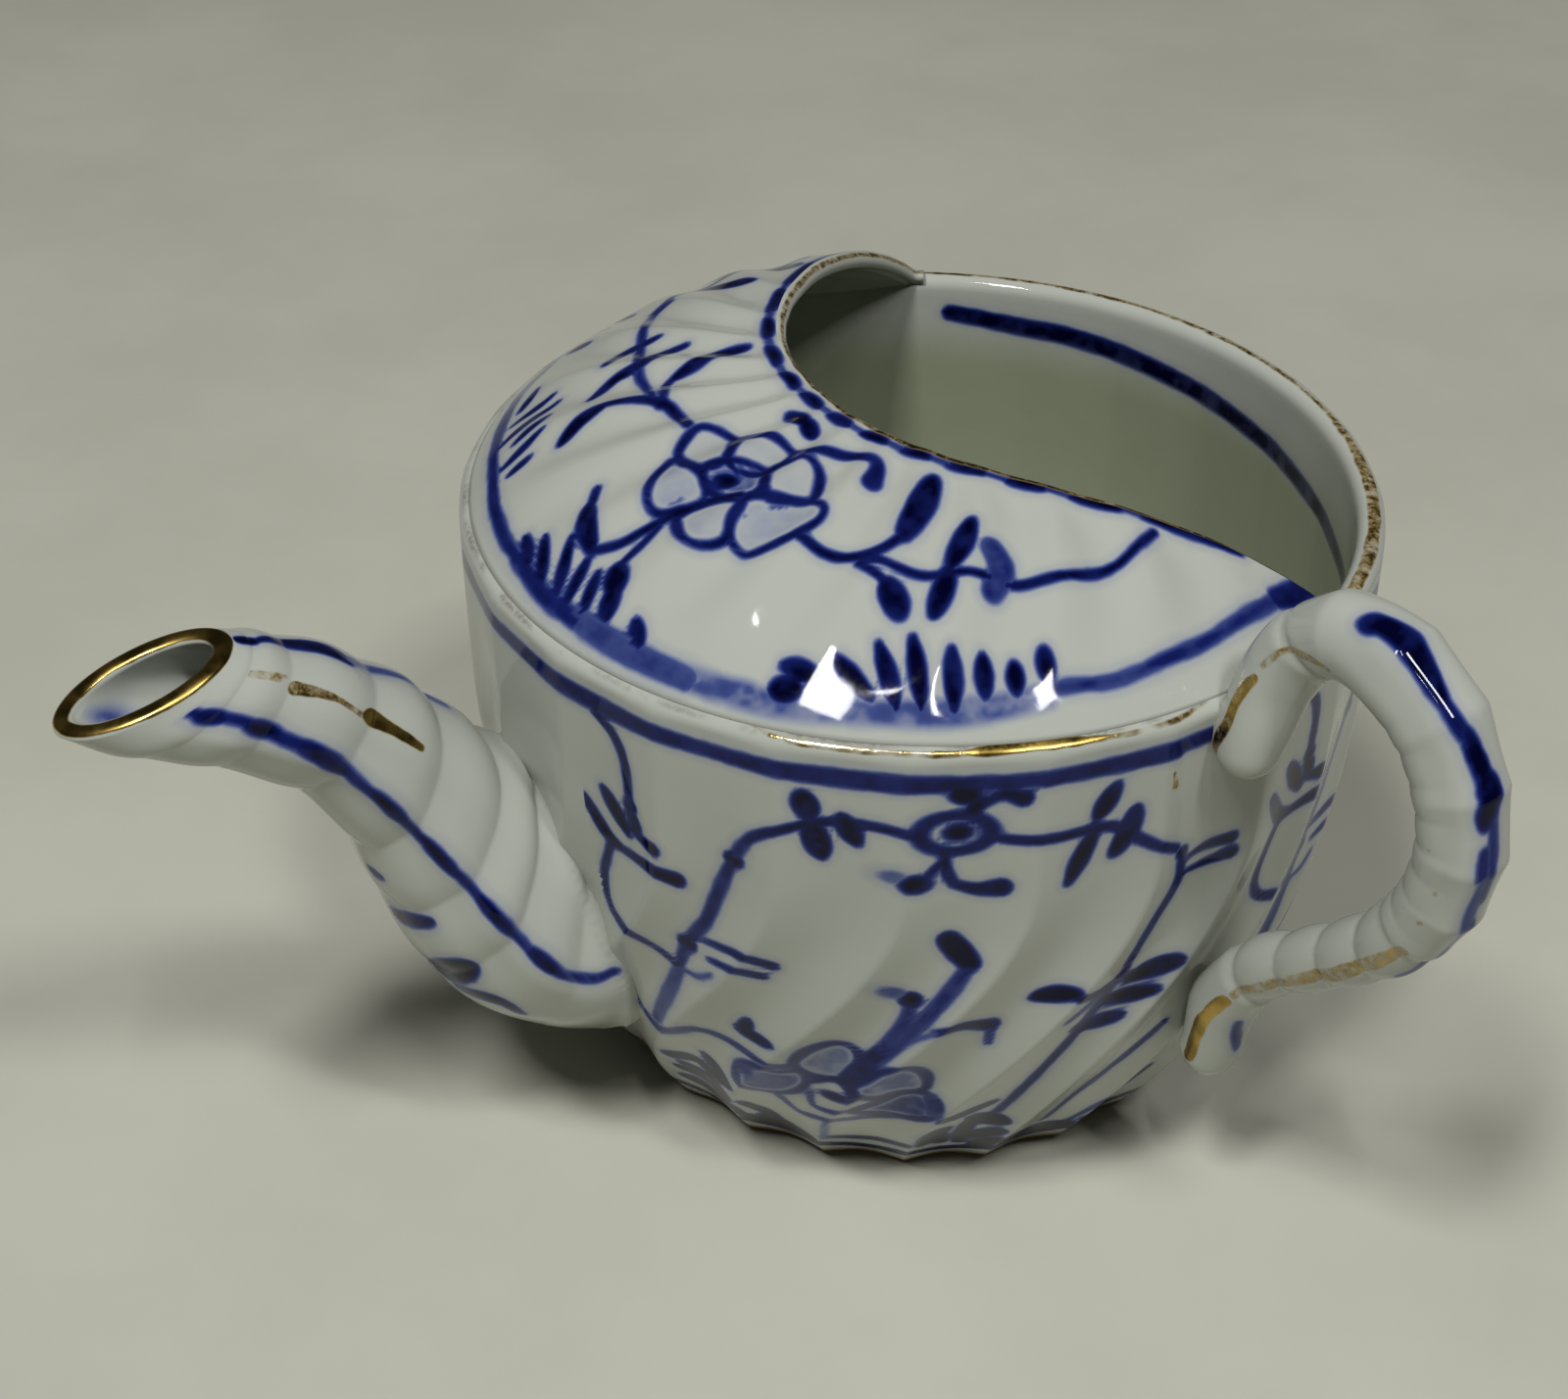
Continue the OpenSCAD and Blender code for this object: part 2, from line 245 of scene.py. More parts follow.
class Paint:
    """Brushwork on a surface that has two coordinates, one of which may be an angle that comes round.

    For each point it keeps how far the point lies outside the nearest stroke of each layer, in
    millimetres and negative inside, and how full the brush was there.
    """

    def __init__(self, across, along, across_mm, along_mm, comes_round=False):
        self.place = np.stack([across, along], -1)
        self.scale = np.stack(np.broadcast_arrays(across_mm, along_mm), -1) * np.ones((len(across), 1))
        self.comes_round = comes_round
        # where and which way round the next strokes are painted: a side of -1 mirrors them
        self.turn = 0
        self.side = 1
        self.edge = {layer: np.full(len(across), FAR) for layer in LAYERS}
        self.load = {layer: np.zeros(len(across)) for layer in LAYERS}

    def away(self, place, who=slice(None)):
        """From each point to a place, in millimetres."""
        step = np.asarray(place, float) - self.place[who]
        if self.comes_round:
            step[:, 0] = (step[:, 0] + 180) % 360 - 180
        return step * self.scale[who]

    def keep(self, layer, who, edge, load):
        nearer = edge < self.edge[layer][who]
        self.edge[layer][who] = np.where(nearer, edge, self.edge[layer][who])
        self.load[layer][who] = np.where(nearer, load, self.load[layer][who])

    def path(self, points, steps=6):
        """The curve through some points, mirrored and turned."""
        return curve_through(points, steps) * [self.side, 1] + [self.turn, 0]

    def near(self, line, room):
        """The points that may lie within some room of a line."""
        middle = (line.min(0) + line.max(0)) / 2
        reach = np.abs(line - middle).max(0)
        gap = np.abs(self.away(middle)) - reach * self.scale
        return np.flatnonzero((gap < room).all(1))

    def measure(self, line, half, who):
        """How far points lie outside a line of changing half-width, and whether it goes round them."""
        nearest = np.full(len(who), FAR)
        within = np.zeros(len(who), bool)
        start, start_half = self.away(line[0], who), half[0]
        rest = slice(1, None) if len(line) > 1 else slice(None)
        for place, end_half in zip(line[rest], half[rest]):
            end = self.away(place, who)
            step = end - start
            t = np.clip(-(start * step).sum(1) / np.maximum((step * step).sum(1), 1e-9), 0, 1)
            gone = np.linalg.norm(start + step * t[:, None], axis=1)
            nearest = np.minimum(nearest, gone - start_half - t * (end_half - start_half))
            crosses = (start[:, 1] > 0) != (end[:, 1] > 0)
            meets = start[:, 0] - start[:, 1] * step[:, 0] / np.where(crosses, step[:, 1], 1)
            within ^= crosses & (meets > 0)
            start, start_half = end, end_half
        return nearest, within

    def stroke(self, width, *points, shape="line", layer="ink", load=1.0):
        """One stroke through the points, or a dot on one point, width being its greatest half-width."""
        line = self.path(points)
        who = self.near(line, width + NEAR)
        if len(who):
            half = width * BRUSH[shape](np.linspace(0, 1, len(line)))
            self.keep(layer, who, self.measure(line, half, who)[0], load)

    def leaf(self, width, *points, load=1.0):
        """A stroke that is widest half-way."""
        self.stroke(width, *points, shape="leaf", load=load)

    def drop(self, width, *points, load=1.0):
        """A stroke that widens towards its end."""
        self.stroke(width, *points, shape="drop", load=load)

    def gild(self, width, *points, shape="line", load=1.0):
        """A stroke of gold."""
        self.stroke(width, *points, shape=shape, layer="gold", load=load)

    def petal(self, *outline, line=0.4, wash=0.3, load=0.9):
        """A closed outline, its half-width being line, with a light wash inside it."""
        steps = 5
        ring = self.path(outline[-1:] + outline + outline[:2], steps)
        ring = ring[steps:(len(outline) + 1) * steps + 1]
        who = self.near(ring, NEAR)
        if not len(who):
            return
        half = line * (1 + 0.22 * np.sin(np.linspace(0, 5 * np.pi, len(ring))))
        edge, within = self.measure(ring, half, who)
        self.keep("ink", who, edge, load)
        self.keep("wash", who, np.where(within, -edge, edge), wash)

    def oval(self, place, half_across, half_along, tilt=0):
        """Each point's place in a tilted oval's own axes, 1 being its rim."""
        gone = -self.away(self.path([place])[0])
        c, s = math.cos(math.radians(tilt)), math.sin(math.radians(tilt))
        along = (gone[:, 0] * c + gone[:, 1] * s) / half_across
        across = (gone[:, 1] * c - gone[:, 0] * s) / half_along
        return np.hypot(along, across)

    def ring(self, place, half_across, half_along, line, load=0.95):
        """An oval's outline, its half-width being line."""
        rim = (self.oval(place, half_across, half_along) - 1) * min(half_across, half_along)
        self.keep("ink", slice(None), np.abs(rim) - line, load)

    def blob(self, place, half_across, half_along, tilt=0, load=1.0):
        """A filled oval."""
        rim = (self.oval(place, half_across, half_along, tilt) - 1) * min(half_across, half_along)
        self.keep("ink", slice(None), rim, load)

    def wipe(self, who):
        """Takes all paint off some points."""
        for layer in LAYERS:
            self.edge[layer][who] = FAR

    def lay(self, layer, who, edge, load):
        """Covers some points with a layer, whatever was there."""
        self.edge[layer] = np.where(who, edge, self.edge[layer])
        self.load[layer] = np.where(who, load, self.load[layer])

    def give(self, piece):
        for layer in LAYERS:
            set_values(piece, layer, self.edge[layer])
            set_values(piece, layer + "_load", self.load[layer])


# --- bowl -------------------------------------------------------------------------------------

BOWL_COLUMNS = 24 * FLUTES
WALL_ROWS = 112
RIM_ROWS = 9
FLUTE_TOP = 57          # height at which the flutes fade out under the lip
LINE_Z = 55.4           # height of the painted line under the lip
FOOT_LINE_Z = 3.3
BARE_SIDE_DEG = 17      # how far to each side of the spout the wall is left unpainted

# The bowl's texture map: two strips of the outer side, a thin one of the underside, then the inside
OUTER_TALL = 0.45
UNDER_FROM, UNDER_TALL = 0.91, 0.02
INNER_FROM, INNER_TALL = 0.94, 0.06
FOOT_MIDDLE, FLOOR_MIDDLE = (0.5, 0.905), (0.5, 0.999)


def bowl_profile():
    """Rows of the bowl from under its foot, up its outer side, over the lip and down to its floor.

    Each row is a radius, a height and how far the flutes are pressed into it. The rows at which the
    wall, the lip and the inside start come with them.
    """
    ring_in = FOOT_R - FOOT_RING_W
    rows = [(r, FOOT_RECESS, 0) for r in np.linspace(5, ring_in - 1, 4)]
    rows += [(ring_in - 0.3, FOOT_RECESS - 0.15, 0), (ring_in, FOOT_RECESS / 2, 0)]
    rows += [(ring_in + 0.3, 0, 0), (FOOT_R - 1.5, 0, 0.3), (FOOT_R - 0.6, 0, 0.6)]
    rows.append((FOOT_R - 0.15, 0.2, 0.65))
    wall = len(rows)
    for z in np.linspace(0.6, LIP_Z, WALL_ROWS):
        rows.append((wall_r(z), z, 0.22 + 0.78 * smooth((FLUTE_TOP - z) / 24)))
    lip = len(rows)
    for a in np.linspace(0, math.pi, RIM_ROWS + 2)[1:-1]:
        r = RIM_R - LIP_R + LIP_R * math.cos(a)
        rows.append((r, LIP_Z + LIP_R * math.sin(a), 0.1 * (1 - a / math.pi)))
    inside = len(rows)
    inner = np.concatenate([np.arange(LIP_Z, 46, -0.8), np.linspace(46, FLOOR_T + 0.4, 10)])
    rows += [(inner_r(z), z, 0) for z in inner]
    rows += [(r, FLOOR_T, 0) for r in np.linspace(FLOOR_R - 0.8, 5, 4)]
    return np.array(rows), wall, lip, inside


def strip_maps(shares, rows, wall, inside):
    """Lays the bowl's rows out as flat strips: the outer side in two halves, the rest above them."""
    column, row = shares[..., 0], shares[..., 1] * (rows - 1)
    second = (column.mean(-1) > 0.5)[:, None]
    up = np.clip((row - wall) / (inside - wall), 0, 1)
    outer = np.stack([(column - 0.5 * second) * 2, OUTER_TALL * (up + second)], -1)
    outer = outer * (1 - 2 * MAP_EDGE) + MAP_EDGE
    up = np.clip(row / wall, 0, 1)
    under = np.stack([column, UNDER_FROM + UNDER_TALL * up], -1)
    up = np.clip((row - inside) / (rows - 1 - inside), 0, 1)
    inner = np.stack([column, INNER_FROM + INNER_TALL * up], -1)
    middle = row.mean(-1)[:, None, None]
    return np.where(middle < wall, under, np.where(middle < inside, outer, inner))


def make_bowl():
    profile, wall, lip, inside = bowl_profile()
    rows = len(profile)
    radius, height, press = profile.T
    ring = RIDGE_DEG + np.arange(BOWL_COLUMNS) * 360 / BOWL_COLUMNS
    is_inside = np.arange(rows) >= inside
    angle = ring[None, :] + np.where(is_inside, 0, wall_swirl(height))[:, None]
    press += np.where(is_inside, 0.15 * smooth((BOWL_H - height) / 12) * smooth(height / 12), 0)
    relief = press[:, None] * flute(ring)[None, :]
    # pressed and fettled by hand: the wall is never quite round
    relief += 0.08 * np.sin(np.radians(3 * angle + 40)) * smooth(height / 20)[:, None]
    r = radius[:, None] + relief
    a = np.radians(angle)
    grid = np.stack([r * np.cos(a), r * np.sin(a), np.broadcast_to(height[:, None], r.shape)], -1)
    points, quads, shares, fans = capped(grid, (0, 0, FOOT_RECESS), (0, 0, FLOOR_T))
    maps = strip_maps(shares, rows, wall, inside)
    piece = make_piece("bowl_glazed", points, quads, maps, fans, [FOOT_MIDDLE, FLOOR_MIDDLE])
    row_of = np.append(np.repeat(np.arange(rows), BOWL_COLUMNS), [0, rows - 1])
    paint_bowl(piece, points, row_of, wall, lip, inside)
    pierce(piece)
    return piece


def wall_panel(wall, left):
    """A quarter of the wall's pattern: a hanging sprig, an arched branch and a flower.

    Places are degrees from the quarter's left side and millimetres above the table.
    """
    wall.turn = left
    stroke, leaf, drop = wall.stroke, wall.leaf, wall.drop
    # the hanging sprig and its leaves
    stroke(0.48, (4, 54.5), (7, 53), (8.5, 50.5), (8.7, 47))
    stroke(0.95, (8.8, 46))
    leaf(0.75, (8.6, 45.6), (9.8, 43.6))
    leaf(0.9, (4.5, 46.4), (8, 42.6))
    leaf(0.75, (1.2, 44.4), (4, 41.2), (6.5, 40.3))
    drop(0.9, (5.6, 40.3), (11, 40.4), (15, 40))
    drop(0.75, (8.6, 43.4), (12.2, 42.7))
    stroke(0.45, (4.8, 40.5), (2.8, 36.6), (2.3, 34), (3.4, 32), (6.5, 31), (10.4, 29.8), (13.4, 28.5))
    # the arched branch
    stroke(0.62, (13.4, 28.5), (15.3, 32.2), (18.4, 36), (20.2, 39.5), (22.5, 44), (24, 46.4), load=0.8)
    stroke(0.75, (13.6, 28.5), (11, 24.3), (7.4, 19), load=0.64)
    stroke(0.45, (24, 46.4), (25.6, 47.8), (28.5, 49.1), (34, 50.7), (40.2, 50.7), (44.8, 49.9))
    stroke(1.2, (15.3, 32.2))
    stroke(1.15, (22.8, 44.4))
    leaf(1.15, (31.1, 53.2), (32.1, 51.2))
    leaf(1.2, (32.1, 50.4), (33.5, 47))
    leaf(1.0, (35.6, 51.4), (37.5, 48.8))
    drop(0.55, (17.2, 33.4), (20, 33.6), (23.5, 33.8), (27.2, 33))
    drop(0.5, (18.4, 31.5), (22, 31.8), (25.7, 31.4))
    stroke(0.25, (14, 28.7), (16.5, 28.7), (19, 30), load=0.6)
    # the ring on the branch, with its buds
    wall.ring((48.3, 50.3), 2.9, 1.9, 0.48)
    wall.blob((48.6, 50.4), 1.25, 0.9)
    wall.blob((49.2, 54.3), 1.45, 1.05)
    stroke(0.7, (49.7, 52.3), (51, 53.6))
    drop(0.85, (51.2, 53.2), (53.3, 54.2), (55.6, 53.7))
    stroke(0.45, (47.1, 48.3), (47.6, 46.1), (48.5, 44.8))
    drop(0.95, (48.4, 44.8), (51, 44.1), (53.8, 44.2))
    stroke(0.35, (47, 47.3), (45.6, 46))
    wall.blob((44.1, 45), 1.4, 1)
    wall.blob((41.6, 45.7), 1.3, 0.7, load=0.45)
    # the branch to the right, and its stem down
    stroke(0.48, (52, 50), (54.6, 49.4), (60.4, 49.1), (66, 49.1), (68.8, 47.7), (72, 46), (75.4, 44.5))
    leaf(0.95, (66.5, 53.3), (64.5, 50.3))
    leaf(0.9, (64.4, 49), (61.7, 43.8))
    leaf(1.0, (69.3, 50.4), (68.5, 48), (67.1, 45.9))
    stroke(0.8, (76.5, 43.7))
    drop(0.65, (77.2, 42.6), (80.6, 43), (84.4, 42.6))
    drop(0.65, (77.4, 41), (81.2, 41), (84.8, 40.9))
    stroke(0.55, (76.6, 43), (76.6, 40), (74, 36.4), (71.5, 32), load=0.85)
    stroke(0.5, (71.7, 31.4), (69.4, 29), (66.5, 24.4), (62.3, 18.7), (57.7, 12.2), load=0.9)
    stroke(0.35, (71.9, 31), (69.4, 29.8), (66.5, 27.8), (64, 26.4), load=0.8)
    leaf(1.0, (59.2, 30.3), (62.1, 30.4), (64.8, 30.2))
    stroke(0.5, (64, 30.2), (66.8, 29.4), (72, 30.4))
    leaf(1.15, (72, 29.6), (76.1, 30), (79.4, 30.1))
    leaf(1.0, (68.4, 27.7), (72.8, 27.4), (76.6, 27.3))
    leaf(0.9, (65.8, 24.6), (69, 24.8), (72.2, 25))
    stroke(0.45, (81.3, 20.3), (76.8, 17.1), (74.4, 15.4), (70, 11.6), (67.3, 7.4), load=0.9)
    stroke(0.35, (85, 13.4), (80, 10.8), (76, 8.6), (71.7, 4.8), load=0.85)
    # the ground line on the left, and its little sprig
    stroke(0.42, (2.6, 21), (3.7, 18.7), (6.8, 17.7), (10.2, 18.6), (14.4, 20.4), (18.4, 20.2),
           (22, 19.7), (26.1, 19.2), (28.7, 19.2), load=0.85)
    leaf(0.75, (22.8, 24.4), (21.8, 22.2))
    leaf(0.75, (21, 22.8), (23.3, 22.4), (26, 22.2))
    # the flower
    wall.petal((20.4, 17.4), (19.4, 14.6), (20.4, 13.5), (23.4, 13.2), (26.4, 13.6), (29.1, 15.2),
               (30.1, 17.2), (29.1, 18.5), (26.4, 18), (23.8, 18.5), line=0.36, wash=0.5, load=0.85)
    wall.petal((28.8, 20), (30.7, 22.4), (33.9, 24), (36.3, 23.9), (37.7, 22.7), (37.8, 21.1),
               (35.7, 18.9), (32.3, 18), (29.9, 18.3), line=0.44, wash=0.3)
    wall.petal((36.7, 17.7), (38.9, 19.8), (41, 21.3), (43.9, 21.9), (46, 20.8), (46.9, 19.2),
               (46.3, 17.4), (43.1, 17.1), (39.9, 16.1), line=0.42, wash=0.4)
    wall.petal((36.5, 13.2), (39.8, 14.9), (43.1, 16.7), (46.3, 16.9), (48.4, 15.4), (48.2, 13.3),
               (46.1, 12.3), (40.9, 12.5), line=0.45, wash=0.6)
    stroke(0.8, (47.4, 16.4), (48.3, 13.4), load=0.7)
    wall.blob((21.4, 17), 1, 0.9, load=0.7)
    stroke(0.32, (30.3, 15.2), (30.6, 12.9), (33, 12.8), (35.6, 13.4), load=0.85)
    stroke(0.42, (30.8, 17), (34, 18.3), (36.2, 17.5), (36.8, 16))
    wall.blob((34.1, 15.6), 1.4, 0.7)
    stroke(0.36, (25, 12.7), (27.6, 10.4), (32.2, 10.9), (40.9, 11.9), (47.1, 12.9), load=0.9)
    stroke(0.35, (32.6, 11.2), (30.9, 5.3), load=0.55)
    # stamens with dark heads
    stroke(0.7, (36.2, 18.6), (37.8, 20.8), (40.9, 24.1), (43.5, 27.8), (44, 29.6), load=0.74)
    stroke(0.68, (38.4, 20.6), (43.8, 26.1), (47.8, 30.9), (49.9, 33.8), (50.6, 35), load=0.74)
    stroke(1.0, (35.7, 18.3), (38.4, 21.2), (40.6, 23.6), load=0.92)
    stroke(1.25, (44.1, 30.8))
    wall.blob((41.9, 31.8), 1.5, 0.8, tilt=-25, load=0.5)
    stroke(1.2, (48.2, 38.3), (50.8, 35.6))
    stroke(0.3, (42.9, 24.7), (45.5, 26.4), (48, 27.4), load=0.55)
    drop(0.85, (47.2, 27.2), (50.4, 27.9), (54.2, 27.2), load=0.95)
    stroke(0.36, (54.3, 27), (54.3, 24.6), load=0.8)
    # grass by the foot, in stalks and blades
    for width, *stalk in (
        (0.72, (5.9, 12.2), (11, 13.5), (13.8, 12.2), (16.7, 11.9)),
        (0.72, (5.9, 9.4), (10.6, 9.6), (14.1, 8.3), (16.1, 5.3)),
        (0.6, (7.5, 11), (12.5, 10.9), (15.5, 9)),
        (0.9, (18.5, 8.8), (21.2, 7.4), (23, 5.4)),
        (0.9, (17, 5.1), (20, 3.9), (25.8, 3.6)),
        (0.5, (31.2, 6), (36.9, 5.7), (40.2, 6), (44.7, 6)),
        (0.84, (53.7, 5.2), (53.6, 8.6), (54.4, 11)),
    ):
        stroke(width, *stalk, load=FULL)
    for width, *blade in (
        (0.78, (13.7, 15.6), (16.8, 12.2)),
        (1.32, (4.5, 6.6), (9.3, 7), (13.5, 6.2)),
        (1.32, (19.9, 5.8), (23.6, 5.2), (28.2, 4.6)),
        (0.72, (49.2, 12.2), (52.2, 13), (57, 14.5)),
        (1.2, (54, 11.6), (59.5, 10)),
        (1.14, (54.2, 6.4), (57, 7.6), (59.4, 8)),
        (1.08, (47, 5.8), (48.7, 8.6), (50.5, 9.8)),
        (0.96, (50.6, 5.4), (49.4, 8.4)),
        (1.08, (56, 4.4), (59.6, 6.2)),
        (1.32, (60.6, 5.6), (67.5, 5), (73.6, 4.4)),
        (0.84, (75, 5.6), (81, 7.4), (86, 10)),
    ):
        leaf(width, *blade, load=FULL)


def paint_bowl(piece, points, row_of, wall_row, lip_row, inside_row):
    angle = np.degrees(np.arctan2(points[:, 1], points[:, 0]))
    radius = np.hypot(points[:, 0], points[:, 1])
    height = points[:, 2]
    share = 1 - np.clip(height / BOWL_H, 0, 1)
    slope = (RIM_R - FOOT_R) * BELLY_POWER / BOWL_H * share ** (BELLY_POWER - 1)
    outside = (row_of >= wall_row) & (row_of < lip_row)
    inside = row_of >= inside_row
    degree_mm = np.maximum(radius, 5) * math.pi / 180
    wall = Paint(angle, height, degree_mm, np.hypot(1, slope), comes_round=True)
    for left in (-164, -74, 16, 104):
        wall_panel(wall, left)
    wall.turn = 0
    # the brush doesn't reach in behind the spout
    wall.wipe(np.abs(np.abs(angle) - 180) < BARE_SIDE_DEG)
    # the line under the lip, with a gap behind the handle
    ring = [(a, LINE_Z + 0.25 * math.sin(math.radians(5 * a))) for a in range(-90, -426, -12)]
    wall.stroke(0.72, *ring, load=0.84)
    wall.stroke(0.5, (-106, 55.1), (-98, 55.4), (-90.4, 55.8))
    # the line along the foot dips between the ridges
    foot = []
    for a in np.arange(0, 361, FLUTE_DEG / 4):
        dip = 0.35 * math.cos(math.radians(a * FLUTES))
        foot.append((RIDGE_DEG - SWIRL_DEG + a, FOOT_LINE_Z + dip))
    wall.stroke(0.72, *foot, load=FULL)
    wall.gild(0.32, (-90.3, 53.2), (-90, 51.6), shape="drop", load=0.95)
    wall.wipe(~outside)
    # the line inside the wall runs only along the open side
    line = Paint(angle, height, WALL_IN_R * math.pi / 180, 1, comes_round=True)
    line.stroke(1.0, (55.5, 54.7), (51, 54.3), (44, 53.8), (36, 53.7), (19, 52.6), (0, 51.2), (-20, 49.7),
                (-45, 48.5), (-58, 48.6))
    wall.lay("ink", inside, line.edge["ink"], line.load["ink"])
    # gold on the lip: a band that moves from the crest out to the shoulder, and what is left of it
    round_lip = np.degrees(np.arctan2(height - LIP_Z, radius - (RIM_R - LIP_R)))
    on_lip = (row_of >= lip_row - 3) & (row_of < inside_row + 3)
    open_side = smooth((62 - np.abs(angle)) / 6)
    front = smooth((angle + 142) / 8) * smooth((-82 - angle) / 10)
    thick = smooth((angle + 118) / 8) * smooth((-96 - angle) / 10)
    centre = 92 - 46 * front - 4 * open_side + 14 * thick
    far = smooth((angle + 30) / 24)
    half = 0.08 + 0.08 * front + 0.3 * thick + (0.52 - 0.36 * far) * open_side
    edge = np.abs(round_lip - centre) * math.pi / 180 * LIP_R - half
    corner = smooth(1 - np.abs(angle - 57) / 5)
    left = 0.34 + 0.26 * front + 0.2 * thick + 0.16 * open_side + 0.4 * corner
    wall.lay("gold", on_lip, edge, left)
    wall.give(piece)
    # where the gold is gone, the crest is rubbed grey
    rubbed = smooth(1.3 - np.abs(round_lip - 62 - 18 * front) / 17)
    rubbed += 0.6 * smooth(1 - np.abs(round_lip - 98) / 9)
    set_values(piece, "rubbed", rubbed * (1 - 0.85 * open_side) * on_lip)
    # the ring that the bowl stands on isn't glazed, and the inside gets painted shade: a darker, greener
    # glaze colour from a little under the lip down to the floor
    standing = (row_of < wall_row + 20) * smooth((radius - 24) / 1.5)
    set_values(piece, "bare", smooth((1.9 - height) / 0.8) * standing)
    set_values(piece, "painted_inside_shade", smooth((LIP_Z - 2 - height) / 7) * inside)


def pierce(piece):
    """Cuts the hole through which the bowl pours into its spout."""
    sides = 40
    turn = np.arange(sides) * 2 * math.pi / sides
    points = [(x * MM, POUR_HOLE_R * math.cos(a) * MM, (POUR_HOLE_Z + POUR_HOLE_R * math.sin(a)) * MM)
              for x in (-RIM_R - 2, -FLOOR_R) for a in turn]
    faces = [tuple(reversed(range(sides))), tuple(range(sides, 2 * sides))]
    faces += [(j, (j + 1) % sides, sides + (j + 1) % sides, sides + j) for j in range(sides)]
    mesh = bpy.data.meshes.new("pour_hole")
    mesh.from_pydata(points, [], faces)
    drill = bpy.data.objects.new("pour_hole", mesh)
    bpy.context.scene.collection.objects.link(drill)
    cut = piece.modifiers.new("pour_hole", "BOOLEAN")
    cut.operation = "DIFFERENCE"
    cut.solver = "EXACT"
    cut.object = drill
    bpy.context.view_layer.update()
    state = bpy.context.evaluated_depsgraph_get()
    pierced = bpy.data.meshes.new_from_object(piece.evaluated_get(state), preserve_all_data_layers=True,
                                              depsgraph=state)
    piece.modifiers.clear()
    piece.data = pierced
    bpy.data.objects.remove(drill)


# --- half cover -------------------------------------------------------------------------------

COVER_COLUMNS = 420
COVER_ROWS = 74
EDGE_ROWS = 10
UNDER_ROWS = 20
CORNER_DEG = 0.6        # how far the cover's corners stay from the end of the opening


def opening_radius(angle):
    """Distance from the cup's middle to the opening's edge along a direction."""
    low, high = np.zeros_like(angle), np.full_like(angle, DOME_R)
    c, s = np.cos(np.radians(angle)), np.sin(np.radians(angle))
    for _ in range(40):
        middle = (low + high) / 2
        covered = middle * c < edge_x(middle * s)
        low, high = np.where(covered, low, middle), np.where(covered, middle, high)
    return high


def cover_relief(r, angle, start):
    """The cover's flutes turn on from the wall's, and fade towards the rim and the opening's edge."""
    depth = 0.62 * smooth((40 - r) / 7) * smooth((r - 6) / 10)
    depth *= 0.15 + 0.85 * smooth((r - start) / 5)
    return depth * flute(angle - COVER_SWIRL * (DOME_R - r), 0.15)


def make_cover():
    angle = np.linspace(EDGE_ANGLE + CORNER_DEG, 360 - EDGE_ANGLE - CORNER_DEG, COVER_COLUMNS)
    edge = opening_radius(angle)
    x, y = edge * np.cos(np.radians(angle)), edge * np.sin(np.radians(angle))
    # the edge is rounded square to its own line, which the columns of the grid meet at a slant
    step = 0.01
    normal = np.stack([-np.ones_like(y), (edge_x(y + step) - edge_x(y - step)) / (2 * step)], -1)
    normal /= np.linalg.norm(normal, axis=1)[:, None]
    facing = np.abs((normal * np.stack([x, y], -1)).sum(1)) / edge
    round_r = EDGE_T / 2 / np.maximum(facing, 0.4)
    start = np.minimum(edge + round_r, DOME_R - 0.3)
    rows_r, rows_z = [], []
    for t in np.linspace(0, 1, COVER_ROWS):
        r = DOME_R + (start - DOME_R) * t
        rows_r.append(r)
        rows_z.append(dome_z(r) + cover_relief(r, angle, start))
    top = rows_z[-1]
    for a in np.linspace(0, math.pi, EDGE_ROWS + 2)[1:-1]:
        r = start - round_r * math.sin(a)
        fall = (dome_z(r) - dome_z(start)) * 0.5
        rows_r.append(r)
        rows_z.append(top + EDGE_T / 2 * (math.cos(a) - 1) + fall)
    for t in np.linspace(0, 1, UNDER_ROWS):
        r = np.minimum(start + (WALL_IN_R - start) * t, WALL_IN_R)
        r = np.where(start > WALL_IN_R, start - 0.4 * t, r)
        away = smooth((r - start) / 8)
        dome = BOWL_H + DOME_H * (1 - np.clip(r / (DOME_R - 0.6), 0, 1) ** DOME_POWER)
        rows_r.append(r)
        rows_z.append(dome - EDGE_T - (COVER_T - EDGE_T) * away
                      + cover_relief(r, angle, start) * (1 - 0.6 * away))
    r, z = np.array(rows_r), np.array(rows_z)
    a = np.radians(angle)[None, :]
    points = np.stack([r * np.cos(a), r * np.sin(a), z], -1).reshape(-1, 3)
    rows = len(rows_r)
    quads, shares = grid_faces(rows, COVER_COLUMNS, closed=False)
    # the shell is closed where it is sunk in the lip, and at its two corners
    hem, hem_map = hem_faces(rows, COVER_COLUMNS, closed=False)
    first = np.arange(rows) * COVER_COLUMNS
    last = first + COVER_COLUMNS - 1
    fans = [fan_faces(first, len(points)), fan_faces(last[::-1], len(points) + 1)]
    points = np.concatenate([points, [points[first].mean(0), points[last].mean(0)]])
    piece = make_piece("cover_glazed", points, np.concatenate([quads, hem]),
                       np.concatenate([shares, hem_map]), fans, [(MAP_EDGE, MAP_EDGE)] * 2)
    paint_cover(piece, points, rows)
    return piece


